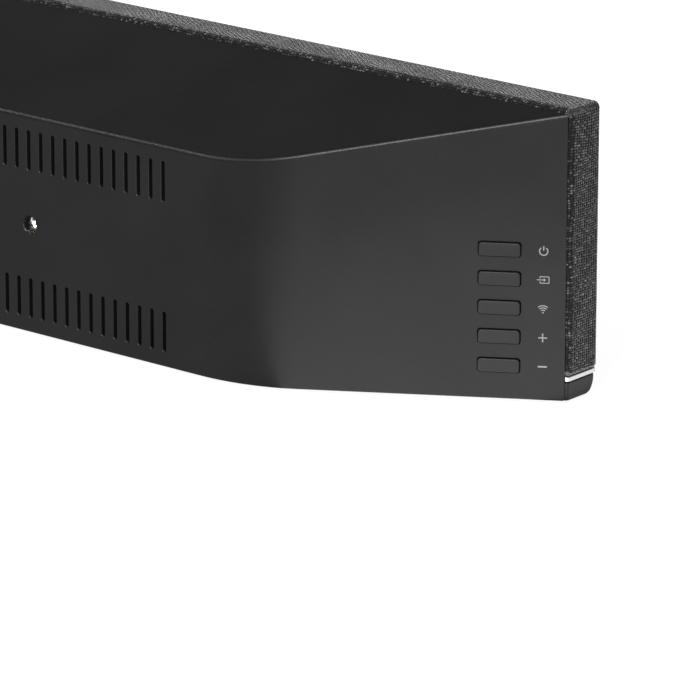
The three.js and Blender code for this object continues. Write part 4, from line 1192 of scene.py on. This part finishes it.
@dataclass
class Band:
    """A band round the front and both ends, seen from above, with rounded corners."""

    INNER_POINTS = 4
    node: str
    front_corner: float
    rear_corner: float
    depth: float
    grow: float = 0.1
    back_out: float = 0.2
    steps: int = 8

    def ring(self, inset: float, back_off: float, z: float) -> Ring:
        """The band's outline at one height.

        Args:
            inset: how far it lies inside the widest outline all round.
            back_off: how much further its front lies back.
            z: the height.

        Returns:
            The outline, anticlockwise, from the left rear corner. The last four points are
            those of its inner side.
        """
        low, high = node_box(self.node)
        half, front = high.x + self.grow - inset, low.y - self.grow + inset + back_off
        rear = high.y + self.back_out - inset
        quarters = (
            (-1, rear - self.rear_corner, self.rear_corner, 1),
            (-1, front + self.front_corner, self.front_corner, 2),
            (1, front + self.front_corner, self.front_corner, 3),
            (1, rear - self.rear_corner, self.rear_corner, 0),
        )
        points = []
        for side, y, radius, quarter in quarters:
            for i in range(self.steps + 1):
                angle = QUARTER * (quarter + i / self.steps)
                x = side * (half - radius) + radius * math.cos(angle)
                points.append(Vector((x, y + radius * math.sin(angle), z)))
        near, inner = low.y + self.depth, high.x - self.depth
        for x, y in ((inner, rear), (inner, near), (-inner, near), (-inner, rear)):
            points.append(Vector((x, y, z)))
        return points


@dataclass
class TrimStrip:
    """The silver strip under the cloth, round the front and both ends."""

    band: Band = field(default_factory=lambda: Band("trim_strip", 0.8, 1.15, 5.0))
    edge: float = 0.2
    edge_steps: int = 4

    def build(self) -> None:
        """Stacks the band's outline with soft upper and lower edges."""
        low, high = node_box(self.band.node)
        levels = soft_edge(self.edge, self.edge_steps)
        rings = [self.band.ring(inset, 0, low.z + rise) for inset, rise in levels]
        rings += [self.band.ring(inset, 0, high.z - rise) for inset, rise in reversed(levels)]
        bm = bmesh.new()
        loft(bm, rings)
        dressed(as_object("silver_strip", bm), SILVER, stands_for=["trim_strip"], crease=40)


@dataclass
class LowerCap:
    """The cap under the strip, whose lower front edge is rounded."""

    band: Band = field(default_factory=lambda: Band("bottom_cap", 1.0, 1.1, 1.8, grow=0.15))
    round_depth: float = 2.3
    round_height: float = 4.2
    start_angle: float = 0.6
    edge: float = 0.22
    edge_steps: int = 3
    steps: int = 10
    front_wall: float = 3.2
    end_wall: float = 2.8

    def build(self) -> None:
        """Makes the cap as a block with a trough in its top."""
        low, high = node_box(self.band.node)
        rings = []
        for i in range(self.steps + 1):
            angle = self.start_angle + (QUARTER - self.start_angle) * i / self.steps
            share = (1 - math.sin(angle)) / (1 - math.sin(self.start_angle))
            rise = 1 - math.cos(angle) / math.cos(self.start_angle)
            soft = self.edge * max(0.0, 1 - i / 2)
            rings.append(
                self.band.ring(soft, self.round_depth * share, low.z + self.round_height * rise)
            )
        for drop, inset in soft_edge(self.edge, self.edge_steps):
            rings.append(self.band.ring(inset, 0, high.z - drop))
        bm = bmesh.new()
        loft(bm, [ring[: -Band.INNER_POINTS] for ring in rings])
        cap = as_object("lower_cap", bm)
        tool = bmesh.new()
        wall = self.band.depth
        far = high.x - self.end_wall
        near = low.y + self.front_wall
        block(tool, (-far, near, low.z + wall), (far, high.y - wall, high.z + 1))
        cut(cap, as_object("cap_channel", tool))
        # The cap wears the lighter copy of the shell plastic, which is painted light.
        dressed(cap, LIT_SHELL_FOR_CAP, stands_for=["bottom_cap"], crease=35)


@dataclass
class GrilleModule:
    """The front module: cloth over its frame, the silver strip and the lower cap."""

    cover: WovenCover = field(default_factory=WovenCover)
    strip: TrimStrip = field(default_factory=TrimStrip)
    cap: LowerCap = field(default_factory=LowerCap)

    def build(self) -> None:
        """Makes the three shown pieces of the module."""
        self.cover.build()
        self.strip.build()
        self.cap.build()


# ---- fittings in the back panel


@dataclass
class WallInsert:
    """A threaded insert behind its hole in the back panel."""

    side: Side
    bore: float = 1.65
    thread_pitch: float = 0.7
    thread_depth: float = 0.38
    levels_per_turn: int = 6
    chamfer: float = 0.3
    sides: int = 40

    def build(self) -> None:
        """Makes the insert with a real helical thread in its bore."""
        node = f"wall_insert_{self.side.word}"
        low, high = node_box(node)
        x, z = node_middle(node)
        outer = (high.x - low.x) / 2
        bm = bmesh.new()
        rings = []
        levels = int((high.y - low.y) / self.thread_pitch * self.levels_per_turn)
        for i in range(levels + 1):
            y = high.y - (high.y - low.y) * i / levels
            ring = []
            for k in range(self.sides):
                share = k / self.sides
                phase = ((high.y - y) / self.thread_pitch + share) % 1
                crest = 1 - abs(2 * phase - 1)
                radius = self.bore + self.thread_depth * crest * min(1, i / 2, (levels - i) / 2)
                if i == 0:
                    radius = self.bore + self.thread_depth
                angle = 2 * math.pi * share
                ring.append(Vector((x + radius * math.cos(angle), y, z + radius * math.sin(angle))))
            rings.append(ring)
        cut_back = self.chamfer
        for radius, y in ((outer, low.y), (outer, high.y - cut_back), (outer - cut_back, high.y)):
            rings.append(ring_at(circle(radius, self.sides), y, x, z))
        rings.append(rings[0])
        made = loft(bm, rings, ends=False)
        bmesh.ops.remove_doubles(bm, verts=[*made[0], *made[-1]], dist=WELD)
        insert = as_object(f"threaded_insert_{self.side.word}", bm)
        dressed(insert, BRASS, stands_for=[node], crease=20)


@dataclass
class Socket:
    """One connector: its shell with a mouth, and a tongue or pins inside."""

    node: str
    finish: Finish
    mouth: tuple[float, float, float, float]
    chamfer: float = 0.25
    tongue: Pair | None = None
    contacts: int = 0
    corner: float = 0.6
    soft: float = 0.3
    steps: int = 8
    contact_share: float = 0.28
    contact_rise: float = 0.05

    def build(self) -> None:
        """Makes the shell, and the tongue with its contacts."""
        low, high = node_box(self.node)
        x, z = node_middle(self.node)
        wide, tall, depth, radius = self.mouth
        length, height, back = high.x - low.x, high.z - low.z, high.y
        bm = bmesh.new()
        rings = []
        for grow, y in ((0, low.y), (0, back - self.soft), (-self.soft, back)):
            sizes = (length + 2 * grow, height + 2 * grow, self.corner)
            rings.append(ring_at(rounded_outline(*sizes, self.steps), y, x, z))
        for grow, y in ((self.chamfer, back), (0, back - self.chamfer), (0, back - depth)):
            sizes = (wide + 2 * grow, tall + 2 * grow, radius + grow)
            rings.append(ring_at(rounded_outline(*sizes, self.steps), y, x, z))
        loft(bm, rings)
        shell = as_object(f"{self.node}_shell", bm)
        dressed(shell, self.finish, stands_for=[self.node], crease=35)
        if self.tongue:
            self.add_tongue(x, z, back, depth)

    def add_tongue(self, x: float, z: float, back: float, depth: float) -> None:
        """Adds the blade in the mouth, with a row of gilt contacts on it.

        Args:
            x: the mouth's centre.
            z: the mouth's height.
            back: the socket's outer face.
            depth: the mouth's depth.
        """
        wide, thick = self.tongue
        bm = bmesh.new()
        rings = [
            ring_at(rounded_outline(wide, thick, 0.2, 3), back - depth - 0.4, x, z),
            ring_at(rounded_outline(wide, thick, 0.2, 3), back - 1.1, x, z),
            ring_at(rounded_outline(wide - 0.4, thick - 0.35, 0.1, 3), back - 0.8, x, z),
        ]
        loft(bm, rings)
        dressed(as_object(f"{self.node}_tongue", bm), INNER, crease=35)
        bm = bmesh.new()
        pitch = (wide - 1.2) / self.contacts
        for i in range(self.contacts):
            middle = x - wide / 2 + 0.6 + (i + 0.5) * pitch
            for face in (-1, 1):
                rise, half = self.contact_rise, pitch * self.contact_share
                near, far = sorted((z + face * (thick / 2 - rise), z + face * (thick / 2 + rise)))
                block(
                    bm,
                    (middle - half, back - depth + 0.2, near),
                    (middle + half, back - 1.6, far),
                )
        dressed(as_object(f"{self.node}_contacts", bm), GOLD, crease=35)


@dataclass
class ConnectorRecess:
    """The pan behind the back panel with its row of sockets."""

    wall: float = 1.6
    flange: float = 4.0
    depth: float = 14.0
    lip: float = 0.35
    gap: float = 0.3
    floor_round: float = 0.8
    pin_spread: float = 4.3

    def sockets(self) -> list[Socket]:
        """The five connectors.

        Returns:
            The connectors, from the mains inlet to the audio jack.
        """
        return [
            Socket("power_inlet", INNER, (14.4, 8.4, 11, 4.1)),
            Socket("tv_audio_socket", STEEL, (14, 4.6, 9, 0.8), tongue=(11, 0.9), contacts=10),
            Socket("service_socket", STEEL, (12.4, 5, 9, 0.4), tongue=(10, 1.8), contacts=4),
            Socket("optical_socket", INNER, (6.2, 6.2, 7, 0.6)),
            Socket("audio_socket", INNER, (3.6, 3.6, 11.2, 1.79)),
        ]

    def build(self, housing: RearHousing) -> None:
        """Makes the pan, then what is in it.

        Args:
            housing: the housing whose recess it lines.
        """
        length, height, corner = housing.recess_size
        gap = self.gap
        z = housing.middle_z
        back = housing.high.y - gap
        floor = housing.high.y - self.depth
        flange_back = housing.high.y - housing.wall - gap

        def ring(grow: float, y: float) -> Ring:
            """The pan's outline, grown all round, at one place along Y."""
            sizes = (length - 2 * gap + 2 * grow, height - 2 * gap + 2 * grow)
            return ring_at(rounded_outline(*sizes, max(corner + grow, 0.5), 8), y, 0, z)

        bm = bmesh.new()
        rings = [
            ring(0, floor - self.wall),
            ring(0, flange_back - self.wall),
            ring(self.flange, flange_back - self.wall),
            ring(self.flange, flange_back),
            ring(0, flange_back),
            ring(0, back - self.lip),
            ring(-self.lip, back),
            ring(-self.wall + self.lip, back),
            ring(-self.wall, back - self.lip),
            ring(-self.wall, floor + self.floor_round),
            ring(-self.wall - self.floor_round, floor),
        ]
        loft(bm, rings)
        pan = as_object("recess_pan", bm)
        tool = bmesh.new()
        for socket in self.sockets():
            low, high = node_box(socket.node)
            block(
                tool,
                (low.x - gap, floor - self.wall - 1, low.z - gap),
                (high.x + gap, floor + 1, high.z + gap),
            )
        cut(pan, as_object("pan_cuts", tool))
        dressed(pan, INNER, stands_for=["connector_tray"], crease=35)
        for socket in self.sockets():
            socket.build()
        self.add_pins()
        self.add_jack_ring()

    def add_pins(self) -> None:
        """Adds the two contact pins of the mains inlet."""
        back = node_box("power_inlet")[1].y
        x, z = node_middle("power_inlet")
        profile = [(1.15, back - 12), (1.15, back - 2.6), (0.95, back - 2.15), (0.5, back - 2)]
        bm = bmesh.new()
        for side in Side:
            turned(bm, profile, x + side.value * self.pin_spread, z, 20)
        dressed(as_object("inlet_pins", bm), STEEL, crease=40)

    def add_jack_ring(self) -> None:
        """Adds the plated ring round the audio jack's bore."""
        back = node_box("audio_socket")[1].y
        x, z = node_middle("audio_socket")
        bm = bmesh.new()
        profile = [(2.2, -0.2), (3.1, -0.2), (3.1, 0.25), (2.9, 0.4), (2.4, 0.4), (2.2, 0.2)]
        rings = [ring_at(circle(r, 32), back + y, x, z) for r, y in [*profile, profile[0]]]
        made = loft(bm, rings, ends=False)
        bmesh.ops.remove_doubles(bm, verts=[*made[0], *made[-1]], dist=WELD)
        dressed(as_object("jack_ring", bm), GOLD, crease=30)


@dataclass
class FootPad:
    """A round rubber pad in its pocket under the housing."""

    node: str
    edge: float = 0.45

    def build(self) -> None:
        """Makes the pad with a soft lower edge and a shallow ring in its face."""
        low, high = node_box(self.node)
        centre, radius = (low + high) / 2, (high.x - low.x) / 2
        profile = [
            (radius - 2.2, low.z + 0.2), (radius - 2.0, low.z), (radius - self.edge, low.z),
            (radius - 0.1, low.z + self.edge * 0.4), (radius, low.z + self.edge), (radius, high.z),
        ]
        bm = bmesh.new()
        rings = [
            [Vector((centre.x + u, centre.y + v, z)) for u, v in circle(r, 48)] for r, z in profile
        ]
        loft(bm, rings)
        dressed(as_object(f"{self.node}_pad", bm), RUBBER, stands_for=[self.node], crease=35)


@dataclass
class ConeSurround:
    """The half-roll rubber surround between a cone and its basket.

    It is made as sectors, each of which spans from the cone's body to the chassis.
    """

    side: Side
    cone_radius: float = 20.5
    flange_bore: float = 24.0
    inner_lip: float = 1.8
    outer_lip: float = 2.2
    thickness: float = 0.6
    sectors: int = 16
    steps: int = 4
    roll_steps: int = 12

    def section(self, rear: float, crest: float) -> list[Pair]:
        """The closed section of the lips and the roll.

        Args:
            rear: the place along Y of the lips' rear face.
            crest: the place along Y of the roll's foremost line.

        Returns:
            Pairs of radius and place along Y.
        """
        middle = (self.cone_radius + self.flange_bore) / 2
        roll = (self.flange_bore - self.cone_radius) / 2
        inner, outer = self.cone_radius - self.inner_lip, self.flange_bore + self.outer_lip
        lift = (rear - crest - self.thickness) / roll

        def arc(radius: float, front: float) -> list[Pair]:
            """Half a roll, from the cone outwards.

            Args:
                radius: of the roll.
                front: the place along Y of its two feet.

            Returns:
                Pairs of radius and place along Y.
            """
            turns = [math.pi * (1 - i / self.roll_steps) for i in range(self.roll_steps + 1)]
            return [
                (middle + radius * math.cos(t), front - lift * radius * math.sin(t)) for t in turns
            ]

        face = rear - self.thickness
        front = [(inner, face), *arc(roll, face), (outer, face)]
        back = [(outer, rear), *reversed(arc(roll - self.thickness, rear)), (inner, rear)]
        return front + back

    def build(self) -> None:
        """Makes the sectors, each swept along its own part of the circle and left on no body."""
        word = self.side.word
        node = f"driver_surround_{word}"
        low, high = node_box(node)
        x, z = node_middle(node)
        section = self.section(high.y, low.y)
        part = 2 * math.pi / self.sectors
        for k in range(self.sectors):
            turns = [part * (k + i / self.steps) for i in range(self.steps + 1)]
            rings = [
                [Vector((x + r * math.cos(t), y, z + r * math.sin(t))) for r, y in section]
                for t in turns
            ]
            bm = bmesh.new()
            loft(bm, rings)
            piece = as_object(f"surround_{word}_{k + 1}", bm)
            dressed(piece, RUBBER, body=None, stands_for=[node], crease=50)
            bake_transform(piece)


# ---- what lies inside, and the studio


class Insides:
    """The carried-over CAD pieces inside the bar, each in its own finish."""

    def build(self) -> None:
        """Gives every CAD node the finish of its slot."""
        by_slot = {finish.slot: finish for finish in ALL_FINISHES}
        for row in frame["record"]["subparts"]:
            node = frame["nodes"][row["node"]]
            node.data.materials.clear()
            node.data.materials.append(by_slot[row["material_slot"]].make())
        LOG.info("%d inner nodes dressed", len(frame["nodes"]))


@dataclass(frozen=True)
class Softbox:
    """A soft area light that faces a point on the bar."""

    name: str
    towards: tuple[float, float, float]
    distance: float
    size: Pair
    power: float
    aim: tuple[float, float, float] = (-0.4, 0.0, 0.04)

    def build(self) -> None:
        """Adds the light."""
        data = bpy.data.lights.new(self.name, "AREA")
        data.shape = "RECTANGLE"
        data.size, data.size_y = self.size
        data.energy = self.power
        light = bpy.data.objects.new(self.name, data)
        bpy.context.scene.collection.objects.link(light)
        away = Vector(self.towards).normalized()
        light.location = Vector(self.aim) + away * self.distance
        light.rotation_mode = "QUATERNION"
        light.rotation_quaternion = away.to_track_quat("Z", "Y")
        light.visible_camera = False


@dataclass
class Studio:
    """A light table, soft boxes and the camera."""

    eye: tuple[float, float, float] = (-1.3107, 1.1109, 0.4594)
    turn: float = 39.47
    dip: float = 17.45
    roll: float = -0.098
    lens: float = 288.3
    floor_half: float = 7.0
    glow: float = 0.95
    world: float = 0.28

    def softboxes(self) -> list[Softbox]:
        """The lights.

        Returns:
            One beside the slanted end, two low panels on the table and two above that draw the
            upper edges.
        """
        return [
            Softbox("end_box", (-0.66, 0.74, 0.05), 1.2, (0.6, 0.4), 13.0, (-0.42, 0.01, 0.03)),
            Softbox("table_box", (0, 0, -1), 0.0045, (0.14, 0.14), 0.2, (-0.462, 0.058, 0.005)),
            Softbox("side_table_box", (0, 0, -1), 0.0045, (0.1, 0.1), 0.028, (-0.51, -0.06, 0.005)),
            Softbox("edge_box", (-0.18, 0.71, 0.68), 2.2, (0.9, 0.24), 85.0),
            Softbox("back_edge_box", (0.62, 0.5, 0.6), 2.2, (1.6, 0.2), 22.0),
        ]

    def build(self) -> None:
        """Makes the floor, the lights and the world."""
        self.add_floor()
        for box in self.softboxes():
            box.build()
        world = bpy.data.worlds.new("studio")
        world.use_nodes = True
        surround = world.node_tree.nodes["Background"]
        surround.inputs["Color"].default_value = (1, 1, 1, 1)
        surround.inputs["Strength"].default_value = self.world
        bpy.context.scene.world = world
        bpy.context.scene.view_settings.view_transform = "Standard"
        LOG.info("studio made")

    def add_floor(self) -> None:
        """Adds the plain pale floor, which glows softly."""
        half = self.floor_half / MM
        bm = bmesh.new()
        corners = ((-half, -half), (half, -half), (half, half), (-half, half))
        bm.faces.new([bm.verts.new((x, y, 0)) for x, y in corners])
        floor = as_object("light_table", bm)
        graph = Graph("light_table")
        graph.set(
            Base_Color=(0.12, 0.12, 0.12, 1),
            Roughness=0.9,
            Specular_IOR_Level=0.1,
            Emission_Color=(1, 1, 1, 1),
            Emission_Strength=self.glow,
        )
        floor.data.materials.append(graph.material)

    def add_camera(self) -> None:
        """Adds the camera, which looks down on the control end from behind."""
        data = bpy.data.cameras.new("camera")
        data.lens, data.sensor_width = self.lens, 36.0
        data.clip_start, data.clip_end = 0.05, 50
        camera = bpy.data.objects.new("camera", data)
        bpy.context.scene.collection.objects.link(camera)
        bpy.context.scene.camera = camera
        turn, dip = math.radians(self.turn), math.radians(self.dip)
        view = Vector(
            (math.sin(turn) * math.cos(dip), -math.cos(turn) * math.cos(dip), -math.sin(dip))
        )
        camera.location = self.eye
        camera.rotation_mode = "QUATERNION"
        rolled = Matrix.Rotation(math.radians(self.roll), 4, view).to_quaternion()
        camera.rotation_quaternion = rolled @ view.to_track_quat("-Z", "Y")


def main() -> None:
    """Builds the sound bar's pieces in order, then the studio."""
    logging.basicConfig(level=logging.INFO, format="%(name)s: %(message)s")
    studio = Studio()
    studio.add_camera()
    Insides().build()
    housing = RearHousing()
    housing.build()
    ControlColumn().build(housing)
    GrilleModule().build()
    for side in Side:
        WallInsert(side).build()
    ConnectorRecess().build(housing)
    for row in ("front", "rear"):
        for side in Side:
            FootPad(f"foot_{row}_{side.word}").build()
    for side in Side:
        ConeSurround(side).build()
    studio.build()


if __name__ == "__main__":
    main()
